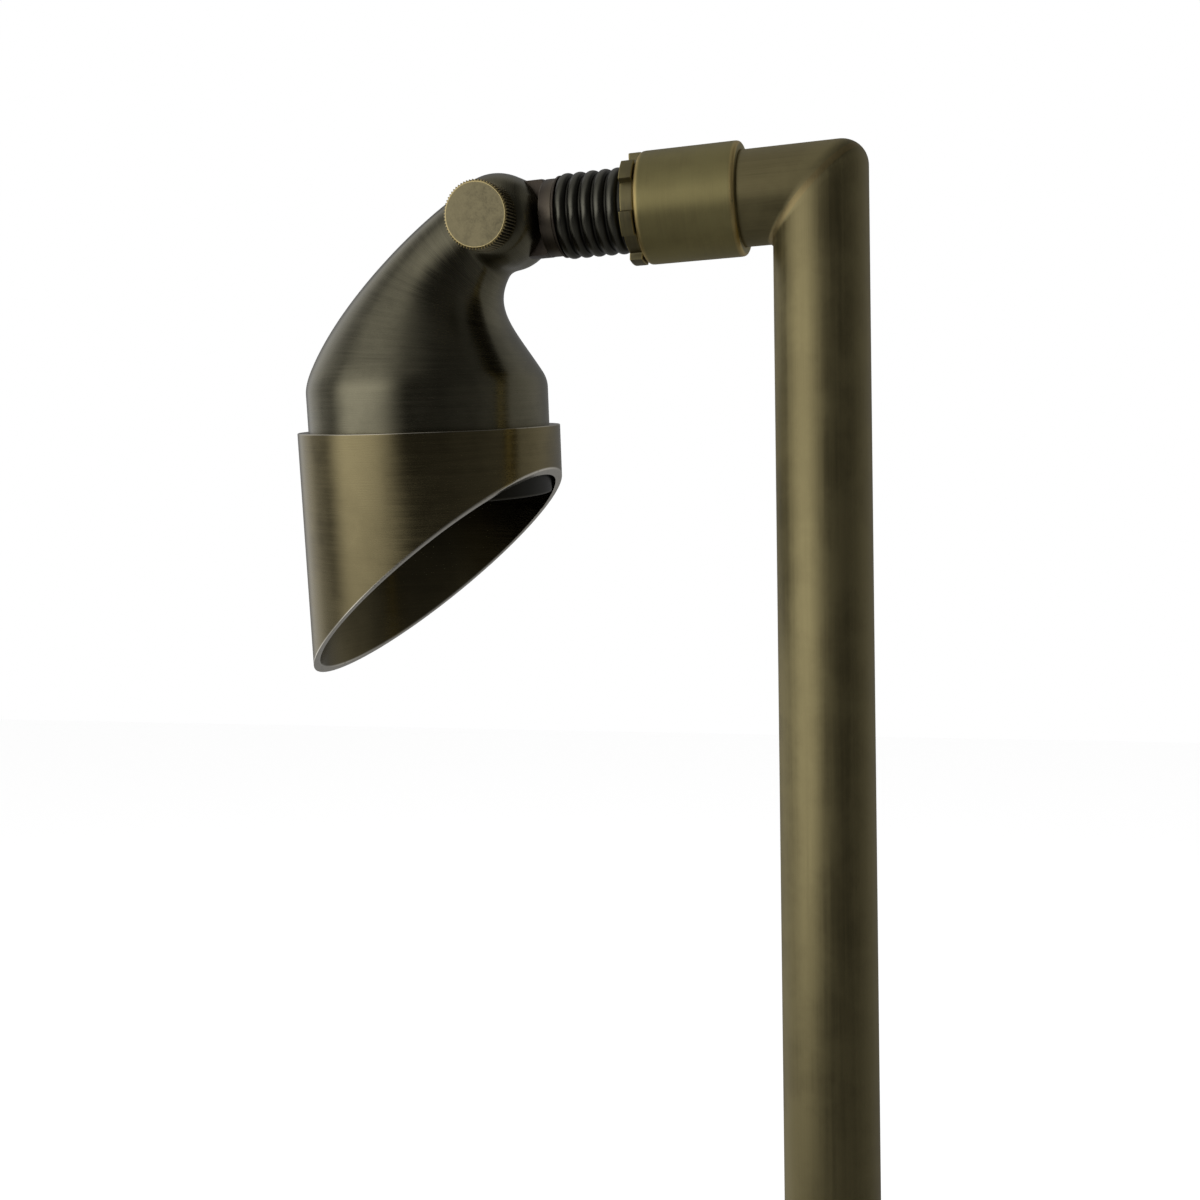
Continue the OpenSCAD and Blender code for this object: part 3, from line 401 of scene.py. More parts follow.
def elbowTube(radius, turn, stage):
    """Stage 0 to 1 runs round the arc of 90 degrees, less than 0 down the post and more than 1 along the arm,
    by whole millimetres."""
    side = radius * np.cos(turn)
    fall = ((1 + np.cos(turn)) / 2) ** post["roundFall"]
    arcRadius = post["innerRound"] + (post["outerRound"] - post["innerRound"]) * fall
    angle = np.clip(stage, 0, 1) * np.pi / 2
    x = side - arcRadius + arcRadius * np.cos(angle) - np.maximum(stage - 1, 0)
    z = side - arcRadius + arcRadius * np.sin(angle) + np.minimum(stage, 0)
    return np.stack([x, radius * np.sin(turn) + 0 * x, z + post["armHeight"]], -1), arcRadius, side


turn = fullTurn(post["columns"])[None, :]
bore = post["radius"] - post["wall"]
radius, high = post["radius"], post["armHeight"]
_, arcRadius, side = elbowTube(radius, turn, np.zeros((1, 1)))
beadShare = np.minimum(post["beadHalf"] / (arcRadius * np.pi / 2), post["beadMost"])
rise = np.linspace(0, 1, post["rows"])[:, None]
postLines = elbowTube(radius, turn, (rise - 1) * (high - post["footTop"] + side - arcRadius))[0]
postBend = elbowTube(radius, turn, np.linspace(0, 1, post["bendRows"])[1:, None] * (0.5 - beadShare))[0]
boreTop = elbowTube(bore, turn, np.full((1, 1), 0.5))[0]
boreLow = boreTop.copy()
boreLow[..., 2] = post["footTop"]
boreMiddle = boreTop * 0.5 + boreLow * 0.5
boreCorner = boreTop + [-post["beadLift"], 0, post["beadLift"]]
postGrid = np.concatenate([postLines, postBend, boreTop, boreMiddle, boreLow])
buildPiece("postTube", postGrid, Matrix(), "base", "post_tube", postBrass, lines="along")
bead = elbowTube(radius, turn, 0.5 + np.linspace(-1, 1, post["beadRows"])[:, None] * beadShare)[0]
buildPiece("elbowBraze", np.concatenate([bead, boreCorner, boreTop]), Matrix(), "base", "elbow_braze",
           brazeBrass, lines="along")
armBend = elbowTube(radius, turn, 1 - np.linspace(1, 0, post["bendRows"])[:-1, None] * (0.5 - beadShare))[0]
armStage = 1 + np.linspace(0, 1, post["armRows"])[:, None] * (post["armEnd"] + side - arcRadius)
armLines = elbowTube(radius, turn, armStage)[0]
boreEnd = boreTop.copy()
boreEnd[..., 0] = -post["armEnd"]
armGrid = np.concatenate([armBend, armLines, boreEnd, boreCorner])
armGrain = armGrid[..., [2, 1, 0]] - [high, 0, 0]
buildPiece("armTube", armGrid, Matrix(), "base", "arm_tube", postBrass, lines="along",
           grain=armGrain)

foot = {"stub": 10.4, "stubLength": 14.0, "flange": 12.5, "flangeThick": 3.0, "plug": 8.98, "plugTop": 19.0,
        "bore": 4.5, "rounds": (0.5, 0.9, 0.1, 0.5, 0.5, 0.1, 0.5, 0.3), "pitch": 1.814, "threadDepth": 0.85,
        "runOut": 1.5, "edgeDepth": 0.95, "topGap": 0.3, "rowGap": 0.05, "rows": 120, "columns": 144}
profile, wear = roundCorners([(foot["bore"], -foot["stubLength"]), (foot["stub"], -foot["stubLength"]),
                              (foot["stub"], 0), (foot["flange"], 0), (foot["flange"], foot["flangeThick"]),
                              (foot["plug"], foot["flangeThick"]), (foot["plug"], foot["plugTop"]),
                              (foot["bore"], foot["plugTop"])], foot["rounds"])
split = 2 * cornerRows - 1  # last row of the stub's lower corner: the thread's rows follow it
threadSpan = profile[split, 1] + foot["rowGap"], profile[split + 1, 1] - foot["rowGap"]
threadRows = np.stack([np.full(foot["rows"], foot["stub"]), np.linspace(*threadSpan, foot["rows"])], 1)
profile = np.concatenate([profile[:split + 1], threadRows, profile[split + 1:]])
wear = np.concatenate([wear[:split + 1], np.zeros(foot["rows"]), wear[split + 1:]])
footGrid = lathe(profile, foot["columns"])
phase = footGrid[..., 2] / foot["pitch"] - np.arange(foot["columns"])[None, :] / foot["columns"]
groove = np.abs((phase % 1) * 2 - 1)  # 1 at the crest, 0 in the groove
reach, height = profile.T
onStub = (height < -foot["topGap"]) & (height > -foot["stubLength"])
onOutside = reach > foot["stub"] - foot["edgeDepth"]
fade = np.clip(np.minimum(height + foot["stubLength"], -height) / foot["runOut"], 0, 1) * onStub * onOutside
scaleDown = 1 - fade[:, None] * (1 - groove) * foot["threadDepth"] / foot["stub"]
footGrid[..., 0] *= scaleDown
footGrid[..., 1] *= scaleDown
buildPiece("footBushing", footGrid, Matrix(), "base", "foot_bushing", footBrass, wear)

collar = {"start": 18.0, "length": 24.0, "radius": 13.25, "edge": 1.3, "socket": 11.12, "socketDepth": 6.5,
          "bore": 8.05, "boreEdge": 0.2, "socketEdge": 0.1}
turnedPiece("couplerCollar",
            [(collar["socket"], 0), (collar["radius"], 0), (collar["radius"], collar["length"]),
             (collar["bore"], collar["length"]), (collar["bore"], collar["socketDepth"]),
             (collar["socket"], collar["socketDepth"])],
            [collar[key] for key in ("boreEdge", "edge", "edge", "boreEdge", "socketEdge", "socketEdge")],
            alongArm(collar["start"]), "base", "coupler_collar", collarBrass, count=192)
print("base made")


# Locknut: at distance y across a lobe's middle line the rim rises from the root to the tip within the flank.
# Columns crowd at the flanks: these degrees lie between the lobe's edge and the flank's ends, the land
# on its inner side and the valley on its outer side.
nut = {"start": 42.3, "thick": 3.2, "tip": 13.2, "root": 11.5, "lobe": 6.0, "lobes": 6, "flank": 0.3,
       "bore": 8.05, "chamfer": 0.3, "boreEdge": 0.2}
valley, flankOut, flankIn, land = 2.6, 2.2, 0.8, 1.6
halfLobe = np.degrees(np.arcsin(nut["lobe"] / 2 / nut["tip"]))
halfPitch = 180 / nut["lobes"]
offsets = np.radians(np.concatenate([np.linspace(-halfPitch, -halfLobe - valley, 7),
                                     np.linspace(-halfLobe - flankOut, -halfLobe + flankIn, 13),
                                     np.linspace(-halfLobe + land, halfLobe - land, 11),
                                     np.linspace(halfLobe - flankIn, halfLobe + flankOut, 13),
                                     np.linspace(halfLobe + valley, halfPitch, 7)[:-1]]))
around = (np.arange(nut["lobes"])[:, None] * np.pi / 3 + offsets).ravel()
across = np.abs(np.tile(offsets, nut["lobes"]))
lift = np.clip((nut["lobe"] / 2 + nut["flank"] / 2 - nut["tip"] * np.sin(across)) / nut["flank"], 0, 1)
rim = nut["root"] + (nut["tip"] - nut["root"]) * lift * lift * (3 - 2 * lift)
levels, wear = roundCorners([(nut["bore"], 0), (0, 0), (0, nut["thick"]), (nut["bore"], nut["thick"])],
                            [nut["boreEdge"], nut["chamfer"], nut["chamfer"], nut["boreEdge"]])
onRim = levels[:, 0] < nut["bore"] * 0.5  # the outline stores the inset from the rim there
inset = np.where(onRim, levels[:, 0], 0)
radiusNow = np.where(onRim[:, None], rim[None, :] - inset[:, None], levels[:, :1])
height = levels[:, 1:] + 0 * radiusNow
nutGrid = np.stack([radiusNow * np.cos(around), radiusNow * np.sin(around), height], -1)
buildPiece("lobedLocknut", nutGrid, alongArm(nut["start"]), "nut", "locknut", nutBrass, wear)

boot = {"start": 45.8, "cuff": 0.8, "ribs": 5, "pitch": 3.2, "root": 9.25, "crest": 10.2, "bore": 8.02,
        "fill": 0.86, "rows": 190, "backEdge": 0.15, "frontEdge": 0.1}
bootLength = boot["cuff"] + boot["ribs"] * boot["pitch"]
along = np.linspace(boot["backEdge"], bootLength - boot["frontEdge"], boot["rows"])
place = ((along - boot["cuff"]) / boot["pitch"]) % 1 - 0.5  # place in the rib, from its crest
bulge = np.sqrt(np.clip(1 - (place / (boot["fill"] / 2)) ** 2, 0, 1)) * (along > boot["cuff"])
outer = np.stack([boot["root"] + (boot["crest"] - boot["root"]) * bulge, along], 1)
profile = np.concatenate([[(boot["bore"], 0), (boot["root"] - boot["backEdge"], 0)], outer,
                          [(boot["root"] - boot["frontEdge"], bootLength), (boot["bore"], bootLength)]])
wear = np.concatenate([[0, 0], np.clip(bulge * 3 - 2, 0, 1), [0, 0]])
buildPiece("ribbedBoot", lathe(profile, 144), alongArm(boot["start"]), "stem", "ribbed_boot",
           bootRubber, wear, sharp=60)


def washerPiece(name, size, place, body, node):
    bore, radius, thick = size["bore"], size["radius"], size["thick"]
    turnedPiece(name, [(bore, 0), (radius, 0), (radius, thick), (bore, thick)], size["edge"], place, body, node,
                stemBrass)


bootWasher = {"start": 62.62, "thick": 0.56, "radius": 9.8, "bore": 8.02, "edge": 0.14}
washerPiece("bootWasher", bootWasher, alongArm(bootWasher["start"]), "stem", "boot_washer")

# Knuckle stem: sections along the arm, round in the shank and the shoulder, flat-sided in the tongue. Each
# has its place before the pivot, its radius and half its width, which is free where the section is round.
stem = {"start": 27.0, "shank": 8.0, "shoulderStart": 63.2, "shoulderEnd": 66.7, "shoulder": 9.3, "edge": 0.45,
        "backEdge": 0.3, "step": 0.02, "tongueHalf": 3.5, "tongueStart": 0.5, "tongueTurn": 86,
        "tongueSpread": 1.6, "tongueRows": 24, "columns": 128}
free, half = 99.0, stem["tongueHalf"]
rear, front = head["pivot"] - stem["shoulderStart"], head["pivot"] - stem["shoulderEnd"]
shank, full = stem["shank"], stem["shoulder"]
sections = [(head["pivot"] - stem["start"], shank, free), (rear + stem["step"], shank, free),
            (rear, full - stem["backEdge"], free), (rear - stem["backEdge"], full, free),
            (front + stem["edge"], full, free), (front + 0.12, full - 0.14, free),
            (front, full - stem["edge"], free), (front - stem["step"], full - stem["edge"], half),
            (front - stem["tongueStart"], full, half)]
wornSections = (3, 5)  # the shoulder's two edges
tip = np.radians(np.linspace(0, stem["tongueTurn"], stem["tongueRows"]))
tongue = np.stack([-full * np.sin(tip), full * np.cos(tip), np.full(len(tip), half)], 1)
sections = np.concatenate([sections, tongue])
t = fullTurn(stem["columns"])
reach, limit = sections[:, 1:2], sections[:, 2:]
flat = np.clip(reach * np.sin(t) * np.where(limit < free, stem["tongueSpread"], 1.0), -limit, limit)
stemGrid = np.stack([sections[:, :1] + 0 * flat, flat, reach * np.cos(t)], -1)
wear = np.isin(np.arange(len(sections)), wornSections).astype(float)
buildPiece("knuckleStem", stemGrid, stemPlace, "stem", "knuckle_stem", stemBrass, wear,
           grain=stemGrid[..., [2, 1, 0]], closedRows=False)
print("nut and stem made")


# Neck and bell. Every section is a closed curve in a plane that holds the direction of the thumb screw. Its
# radius is the larger of the neck's oval and the knuckle's domed disc, blended where they are nearly equal.
# The rows of the plain band and of the inside follow, the inside as pairs of radius and depth.
bell = {"crownTurn": 22.0, "crownReach": 0.8, "flankOut": 0.77, "flankDrop": 0.49, "throat": (0.1, 0.95),
        "throatIn": (0.56, 0.54), "throatOut": (-0.02, 0.645), "knuckle": 11.6, "cheek": 12.0,
        "cheekFace": 7.0, "cheekBand": 2.0, "drop": 38.5, "band": 31.2, "bandInset": 0.1, "shoulderRound": 1.6,
        "shoulderFall": 1.4, "shoulderRows": 9, "blend": 1.7, "columns": 160, "rows": 84, "crowding": 1.15,
        "capRows": 30, "capShares": (0.995, 0.03), "replaced": 4, "bandRows": (44.0, 49.0, 55.0, 60.0),
        "inside": ((28.0, 60.0), (28.0, 37.0), (22.1, 28.9), (15.1, 18.7), (9.5, 11.3), (3.0, 11.3)),
        "sharp": 38}
search = {"far": 26, "steps": 64, "halvings": 14, "missed": -20.0}
knuckle, band, inset = bell["knuckle"], bell["band"], bell["bandInset"]
crownAngle = np.radians(bell["crownTurn"])
crown = knuckle * np.array([-np.sin(crownAngle), np.cos(crownAngle)])
crownReach = bell["crownReach"] * head["offset"] * np.array([np.cos(crownAngle), np.sin(crownAngle)])
upper = np.array([crown, crown - crownReach,
                  [-head["offset"] - bell["flankOut"] * band, -bell["flankDrop"] * bell["drop"]],
                  [-head["offset"] - band + inset, -bell["drop"]]])
lower = np.array([[bell["throat"][0] * knuckle, -bell["throat"][1] * knuckle],
                  [-bell["throatIn"][0] * knuckle, -bell["throatIn"][1] * bell["drop"]],
                  [bell["throatOut"][0] * knuckle, -bell["throatOut"][1] * bell["drop"]],
                  [band - inset - head["offset"], -bell["drop"]]])


def cubic(points, u):
    """(1-u)^3 P0 + 3 (1-u)^2 u P1 + 3 (1-u) u^2 P2 + u^3 P3."""
    u = u[:, None]
    return ((1 - u) ** 3 * points[0] + 3 * (1 - u) ** 2 * u * points[1] + 3 * (1 - u) * u * u * points[2]
            + u ** 3 * points[3])


def domedDisc(x, y, z):
    """True inside the knuckle: flat cheeks to the face's radius, elliptical domes from there to the band."""
    far = np.hypot(x, z)
    dome = np.clip((far - bell["cheekFace"]) / (knuckle - bell["cheekFace"]), 0, 1)
    half = bell["cheekBand"] + (bell["cheek"] - bell["cheekBand"]) * np.sqrt(1 - dome ** 2)
    return (far <= knuckle) & (np.abs(y) <= half)


def discRadius(centre, lay, t):
    """Distance from each section's centre to the far side of the disc, at angle t in the section: the last
    step that is inside, then halved again and again. A ray that misses the disc has the missed value."""
    def inside(distance):
        flatPart = distance * np.cos(t)
        return domedDisc(centre[:, :1] + flatPart * lay[:, :1], distance * np.sin(t),
                         centre[:, 1:] + flatPart * lay[:, 1:])
    steps = np.linspace(0, search["far"], search["steps"])
    hits = np.stack([inside(np.full((len(centre), len(t)), step)) for step in steps])
    lastHit = len(steps) - 1 - np.argmax(hits[::-1], 0)
    low, highEnd = steps[lastHit], steps[np.minimum(lastHit + 1, len(steps) - 1)]
    for _ in range(search["halvings"]):
        middle = (low + highEnd) / 2
        good = inside(middle)
        low, highEnd = np.where(good, middle, low), np.where(good, highEnd, middle)
    return np.where(hits.any(0), low, search["missed"])


def bellRow(radius, depth):
    return np.stack([-head["offset"] - radius * np.cos(t), -radius * np.sin(t), np.full(len(t), -depth)], -1)


t = fullTurn(bell["columns"])
u = np.linspace(0, 1, bell["rows"]) ** bell["crowding"]
high, low = cubic(upper, u), cubic(lower, u)
centre, half = (high + low) / 2, (high - low) / 2
reach = np.linalg.norm(half, axis=1)
lay = half / reach[:, None]
wide = bell["cheek"] / knuckle
width = reach * (wide + (1 - wide) * np.sin(u * np.pi / 2))
oval = 1 / np.sqrt((np.cos(t) / reach[:, None]) ** 2 + (np.sin(t) / width[:, None]) ** 2)
outward = np.array([lay[0, 1], -lay[0, 0]])  # from the crown and throat towards the knuckle's far end
start = float(centre[0] @ outward)
capShare = np.sin(np.linspace(*bell["capShares"], bell["capRows"]) * np.pi / 2)
capDistance = start + (knuckle - start) * capShare
capCentre = capDistance[:, None] * outward + (centre[0] @ lay[0]) * (1 - capShare)[:, None] * lay[0]
centre = np.concatenate([capCentre, centre])
oval = np.concatenate([oval[0] * (1 - capShare)[:, None], oval])
lay = np.concatenate([np.tile(lay[0], (bell["capRows"], 1)), lay])
disc = discRadius(centre, lay, t)
near = np.clip(1 - np.abs(oval - disc) / bell["blend"], 0, 1)
section = np.maximum(oval, disc) + near ** 2 * bell["blend"] / 4
neckGrid = np.stack([centre[:, :1] + section * np.cos(t) * lay[:, :1], -section * np.sin(t),
                     centre[:, 1:] + section * np.cos(t) * lay[:, 1:]], -1)
corner = bellRow(band, bell["drop"])
above = neckGrid[-1 - bell["replaced"]]  # the shoulder replaces the rows after this one
below = corner - [0, 0, bell["shoulderRound"] * bell["shoulderFall"]]
s = np.linspace(0, 1, bell["shoulderRows"])[1:, None, None]
shoulder = (1 - s) ** 2 * above + 2 * s * (1 - s) * corner + s ** 2 * below
rows = [(band, depth) for depth in bell["bandRows"]] + list(bell["inside"])
neckGrid = np.concatenate([neckGrid[:-bell["replaced"]], shoulder, np.stack([bellRow(*row) for row in rows])])
spine = neckGrid.mean(1)
travel = np.concatenate([[0], np.cumsum(np.linalg.norm(np.diff(spine, axis=0), axis=1))])
travel = travel[:, None] + 0 * neckGrid[..., 0]
neckGrain = np.stack([neckGrid[..., 0] + head["offset"], neckGrid[..., 1], travel], -1)
# The bell's inside rows get painted shade: their colour turns near black.
neckPiece = buildPiece("neckHousing", neckGrid, headPlace, "head", "neck_housing", neckBrass,
                       grain=neckGrain, closedRows=False, sharp=bell["sharp"],
                       inner=np.arange(len(neckGrid)) >= len(neckGrid) - len(bell["inside"]))

# Slot for the tongue, the pivot's two holes and the flat under the knob's washer. Known fault: the round cuts
# print their outline on the cheeks, and the cheek's face inside it stays.
slot = {"radius": 9.8, "half": 4.4, "low": -18.5, "high": 101.5, "reach": 46.4, "points": 40,
        "circlePoints": 48, "pivotHole": 3.06, "insertHole": 4.52, "outside": 14.0, "spotRadius": 6.6,
        "spotFace": 12.0, "spotOut": 1}


def direction(degrees):
    return np.array([np.cos(np.radians(degrees)), np.sin(np.radians(degrees))])


def cutOut(name, outline, front, back):
    """The outline in the head's XZ plane carried from back to front along its Y, for cutting the neck."""
    count = len(outline)
    ring = np.stack([outline[:, 0], 0 * outline[:, 0], outline[:, 1]], -1)
    points = np.concatenate([ring + [0, front, 0], ring + [0, back, 0]])
    matrix = np.array(headPlace)
    points = (points @ matrix[:3, :3].T + matrix[:3, 3]) * mm
    k = np.arange(count)
    sides = np.stack([k, (k + 1) % count, (k + 1) % count + count, k + count], -1).tolist()
    mesh = bpy.data.meshes.new(name)
    mesh.from_pydata(points.tolist(), [], sides + [k[::-1].tolist(), (k + count).tolist()])
    mesh.validate()
    cutter = addObject(name, mesh)
    cut = neckPiece.modifiers.new(name, "BOOLEAN")
    cut.operation, cut.solver, cut.object = "DIFFERENCE", "EXACT", cutter
    bpy.context.view_layer.update()
    bpy.context.view_layer.objects.active = neckPiece
    bpy.ops.object.modifier_apply(modifier=name)
    bpy.data.objects.remove(cutter)


arc = np.radians(np.linspace(slot["high"] + 90, slot["low"] + 270, slot["points"]))
rounded = slot["radius"] * np.stack([np.cos(arc), np.sin(arc)], 1)
corners = np.array([slot["radius"] * direction(slot["low"] - 90) + slot["reach"] * direction(slot["low"]),
                    2 * slot["reach"] * direction((slot["low"] + slot["high"]) / 2),
                    slot["radius"] * direction(slot["high"] + 90) + slot["reach"] * direction(slot["high"])])
cutOut("slotCut", np.concatenate([rounded, corners]), -slot["half"], slot["half"])
around = fullTurn(slot["circlePoints"])
circle = np.stack([np.cos(around), np.sin(around)], 1)
cutOut("pivotCut", slot["pivotHole"] * circle, -slot["outside"], 0.0)
cutOut("insertCut", slot["insertHole"] * circle, 0.0, slot["outside"])
cutOut("spotCut", slot["spotRadius"] * circle, -slot["spotFace"] - slot["spotOut"], -slot["spotFace"])
neckPiece.data.set_sharp_from_angle(angle=np.radians(bell["sharp"]))
print("neck made:", len(neckPiece.data.polygons), "faces")

# Shroud: at each angle its own outline, the wall ending at the slanted cut z = cut + slope * x
shroud = {"top": 50.4, "radius": 34.0, "wall": 1.8, "bore": 31.3, "collar": 11.0, "axis": 38.7, "cut": 39.2,
          "turn": 7.0, "lip": 0.28, "edge": 0.2, "hold": 0.35, "columns": 256, "edgeWear": 0.6,
          "lipShade": 0.3}
turn = fullTurn(shroud["columns"])
slope = np.tan(np.radians(shroud["cut"])) * np.cos(turn + np.radians(shroud["turn"]))
thin = shroud["radius"] - shroud["wall"]
low = -shroud["top"] - shroud["axis"]
collarEnd = -shroud["top"] - shroud["collar"]
edges = ((shroud["bore"], -shroud["top"]), (shroud["radius"], -shroud["top"]),
         (shroud["radius"], low + slope * shroud["radius"]), (thin, low + slope * thin),
         (thin, collarEnd), (shroud["bore"], collarEnd))
outline = np.stack([np.stack([reach + 0 * turn, height + 0 * turn], -1) for reach, height in edges], 1)
lip, edge = shroud["lip"], shroud["edge"]
profile, wear = roundCorners(outline, np.array([edge, lip, lip, lip, edge, edge]), hold=shroud["hold"])
profile = np.moveaxis(profile, 0, 1)
shroudGrid = np.stack([profile[..., 0] * np.cos(turn), profile[..., 0] * np.sin(turn), profile[..., 1]], -1)
# The cut's face and edges get the gold in full: bare cut brass, and a painted highlight along the lip.
cutWearAndHighlight = np.zeros(len(wear))
cutWearAndHighlight[2 * cornerRows + 1:4 * cornerRows - 1] = 1  # the cut's own face and both its edges
wear = np.maximum(wear * shroud["edgeWear"], cutWearAndHighlight)
# Painted shade: the inner wall and the bore's first rows turn near black, the lip's inner edge partly.
inner = np.zeros(len(wear))
inner[4 * cornerRows - 2:] = shroud["lipShade"]  # from the end of the cut's inner edge
inner[4 * cornerRows:], inner[:3] = 1, 1
buildPiece("shroudTube", shroudGrid, bellPlace, "guard", "shroud", shroudBrass, wear,
           inner=inner)

lensRing = {"radius": 31.15, "top": 60.1, "bottom": 67.9, "open": 25.0, "seat": 29.1, "lensEnd": 65.36,
            "seatTop": 60.92, "skirt": 27.95, "skirtTop": 57.0,
            "rounds": (0.3, 0.6, 1.4, 0.2, 0.1, 0.1, 0.2, 0.2, 0.2, 0.1)}
ringOutline = (("radius", "top"), ("radius", "bottom"), ("open", "bottom"), ("open", "lensEnd"),
               ("seat", "lensEnd"), ("seat", "seatTop"), ("open", "seatTop"), ("open", "skirtTop"),
               ("skirt", "skirtTop"), ("skirt", "top"))
turnedPiece("lensRing", [(lensRing[reach], -lensRing[depth]) for reach, depth in ringOutline],
            lensRing["rounds"], bellPlace, "head", "lens_ring", ringBrass, count=192)

lamp = {"top": 27.9, "height": 29.0, "rim": 1.8, "radius": 25.3, "wall": 1.5, "neck": 0.34, "bulge": 0.62,
        "crowding": 1.4, "rows": 40, "centre": 0.4, "capsule": 4.5, "capsuleLength": 15.0, "capsuleGap": 0.02,
        "capsuleCentre": 0.3, "tipTurn": 88, "tipRows": 14}
w = np.linspace(0, 1, lamp["rows"]) ** lamp["crowding"]
wall = lamp["wall"]
neckRadius = lamp["neck"] * lamp["radius"]
bowl = np.stack([neckRadius + (lamp["radius"] - neckRadius) * w ** lamp["bulge"],
                 -w * (lamp["height"] - lamp["rim"])], 1)
profile = np.concatenate([[(lamp["centre"], -wall), (neckRadius - wall, -wall)], bowl[1:] - [wall, 0],
                          [(lamp["radius"] - wall, -lamp["height"]), (lamp["radius"], -lamp["height"])],
                          bowl[::-1], [(lamp["centre"], 0)]])
lampPlace = bellPlace @ raised(-lamp["top"])
buildPiece("lampReflector", lathe(profile, 144), lampPlace, "head", "lamp_reflector",
           reflectorGlass, sharp=50, closedRows=False)
arc = np.radians(np.linspace(0, lamp["tipTurn"], lamp["tipRows"]))
base = wall + lamp["capsuleGap"]
tipHeight = base + lamp["capsuleLength"] - lamp["capsule"]
dome = np.stack([lamp["capsule"] * np.cos(arc), -tipHeight - lamp["capsule"] * np.sin(arc)], 1)
profile = np.concatenate([[(lamp["capsuleCentre"], -base), (lamp["capsule"], -base)], dome])
buildPiece("lampCapsule", lathe(profile, 64), lampPlace, "head", "lamp_capsule", capsuleGlass,
           closedRows=False)
print("bell, shroud and lamp made")

# Thumb knob: rim radius rises and falls with the teeth, and fades to the round face at the chamfer. Each
# level has its radius in the grooves, its height, its share of the tooth and its wear.
knob = {"start": 12.9, "thick": 6.6, "radius": 8.2, "teeth": 66, "perTooth": 6, "depth": 0.48, "chamfer": 0.16,
        "bore": 3.02, "boreDepth": 3.3, "centre": 0.5, "tipShare": 0.7, "tipFlat": 1.25, "grooveShadeFall": 1.6}
count = knob["teeth"] * knob["perTooth"]
turn = fullTurn(count)
wave = np.abs((np.arange(count) / knob["perTooth"] % 1) * 2 - 1)
tooth = knob["depth"] * np.clip(wave * knob["tipFlat"], 0, 1)
root, thick = knob["radius"] - knob["depth"], knob["thick"]
face = root - knob["chamfer"]
levels = np.array([(knob["centre"], knob["boreDepth"], 0, 0), (knob["bore"], knob["boreDepth"], 0, 0),
                   (knob["bore"], 0, 0, 0), (root - 0.3, 0, 0, 0), (root - 0.05, 0.08, 0, 0.6),
                   (root, 0.3, 0.9, 0.4), (root, 0.6, 1, 0.25), (root, thick - 1.1, 1, 0.25),
                   (root, thick - 0.5, 1, 0.6), (root, thick - 0.28, 0.3, 1), (root - 0.04, thick - 0.12, 0, 1),
                   (face, thick, 0, 0.9), (face - 0.2, thick, 0, 0), (4.0, thick, 0, 0),
                   (knob["centre"], thick, 0, 0)])
toothShare = levels[:, 2:3]
radiusNow = levels[:, :1] + toothShare * tooth
knobGrid = np.stack([radiusNow * np.cos(turn), radiusNow * np.sin(turn), levels[:, 1:2] + 0 * radiusNow], -1)
tips = np.where(wave > knob["tipShare"], 1.0, 0.0)
wear = levels[:, 3:4] * np.where(toothShare > 0.5, tips, 1.0)
# Painted shade: the grooves between the teeth are mixed to near black, fading up each flank.
grooveShade = (toothShare > 0.5) * np.clip(1 - wave * knob["grooveShadeFall"], 0, 1)
knobGrain = knobGrid[..., [2, 0, 1]]
buildPiece("thumbKnob", knobGrid, knobPlace @ raised(knob["start"]), "clamp_screw", "thumb_knob",
           knobBrass, wear, grain=knobGrain, sharp=24, closedRows=False, inner=grooveShade)
knobWasher = {"start": 12.05, "thick": 0.8, "radius": 6.3, "bore": 3.1, "edge": 0.15}
washerPiece("knobWasher", knobWasher, knobPlace @ raised(knobWasher["start"]), "clamp_washer", "knob_washer")

# CAD nodes that stay keep their meshes and get a finish
finishes = ((sealRubber, ("foot_grommet", "arm_seal", "stem_o_ring", "lens_gasket", "body_o_rings")),
            (jacket, ("supply_lead", "stem_wires", "head_wires")), (nylon, ("friction_washers",)),
            (darkSteel, ("thread_insert",)), (brightSteel, ("socket_screws", "lamp_pins", "thumb_stud")),
            (ceramic, ("lamp_socket", "lamp_base")), (clearGlass, ("lamp_cover", "lens_glass")),
            (blackPlastic, ("lamp_retainer",)))
for material, nodes in finishes:
    for node in nodes:
        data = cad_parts[node].data
        data.materials.clear()
        data.materials.append(material)
print("knob and kept nodes finished")


# Studio: a pale floor, a white surround and soft panels. A panel's or a pole's ramp has its start and end on
# the unit sphere and its level at each.
studio = {"floorSize": 6.0, "floorDepth": -14.6, "floorColour": (0.86, 0.86, 0.86, 1), "floorGlow": 0.62,
          "ambient": 0.42, "gain": 1.25, "panelLeft": (-80.0, -54.0), "panelRight": (-28.0, 4.0),
          "shear": 200.0, "shearFrom": 0.19, "panelTop": (0.1, 0.6, 1.0, 0.5),
          "panelFoot": (-0.5, -0.15, 0.3, 1.0), "above": (-0.1, 0.35, 0.35, 0.06), "aboveFade": (0.55, 0.95),
          "below": (-0.7, -0.25, 0.45, 0.14), "belowFade": (0.1, 0.85), "aim": (-0.05, 0, 0.35),
          "bearings": ((-180, 0.15), (-140, 0.17), (-122, 0.55), (-108, 0.5), (-92, 0.26), (-75, 0.18),
                       (-55, 0.03), (30, 0.03), (60, 0.05), (85, 0.09), (110, 0.2), (140, 0.27), (180, 0.15))}
floorMesh = bpy.data.meshes.new("studioFloor")
edge, depth = studio["floorSize"] / 2, studio["floorDepth"] * mm
floorCorners = [(x, y, depth) for x, y in ((-edge, -edge), (edge, -edge), (edge, edge), (-edge, edge))]
floorMesh.from_pydata(floorCorners, [], [(0, 1, 2, 3)])
floor = addObject("studioFloor", floorMesh)
floor.visible_glossy = False  # the surround's low level stands for it in the metal
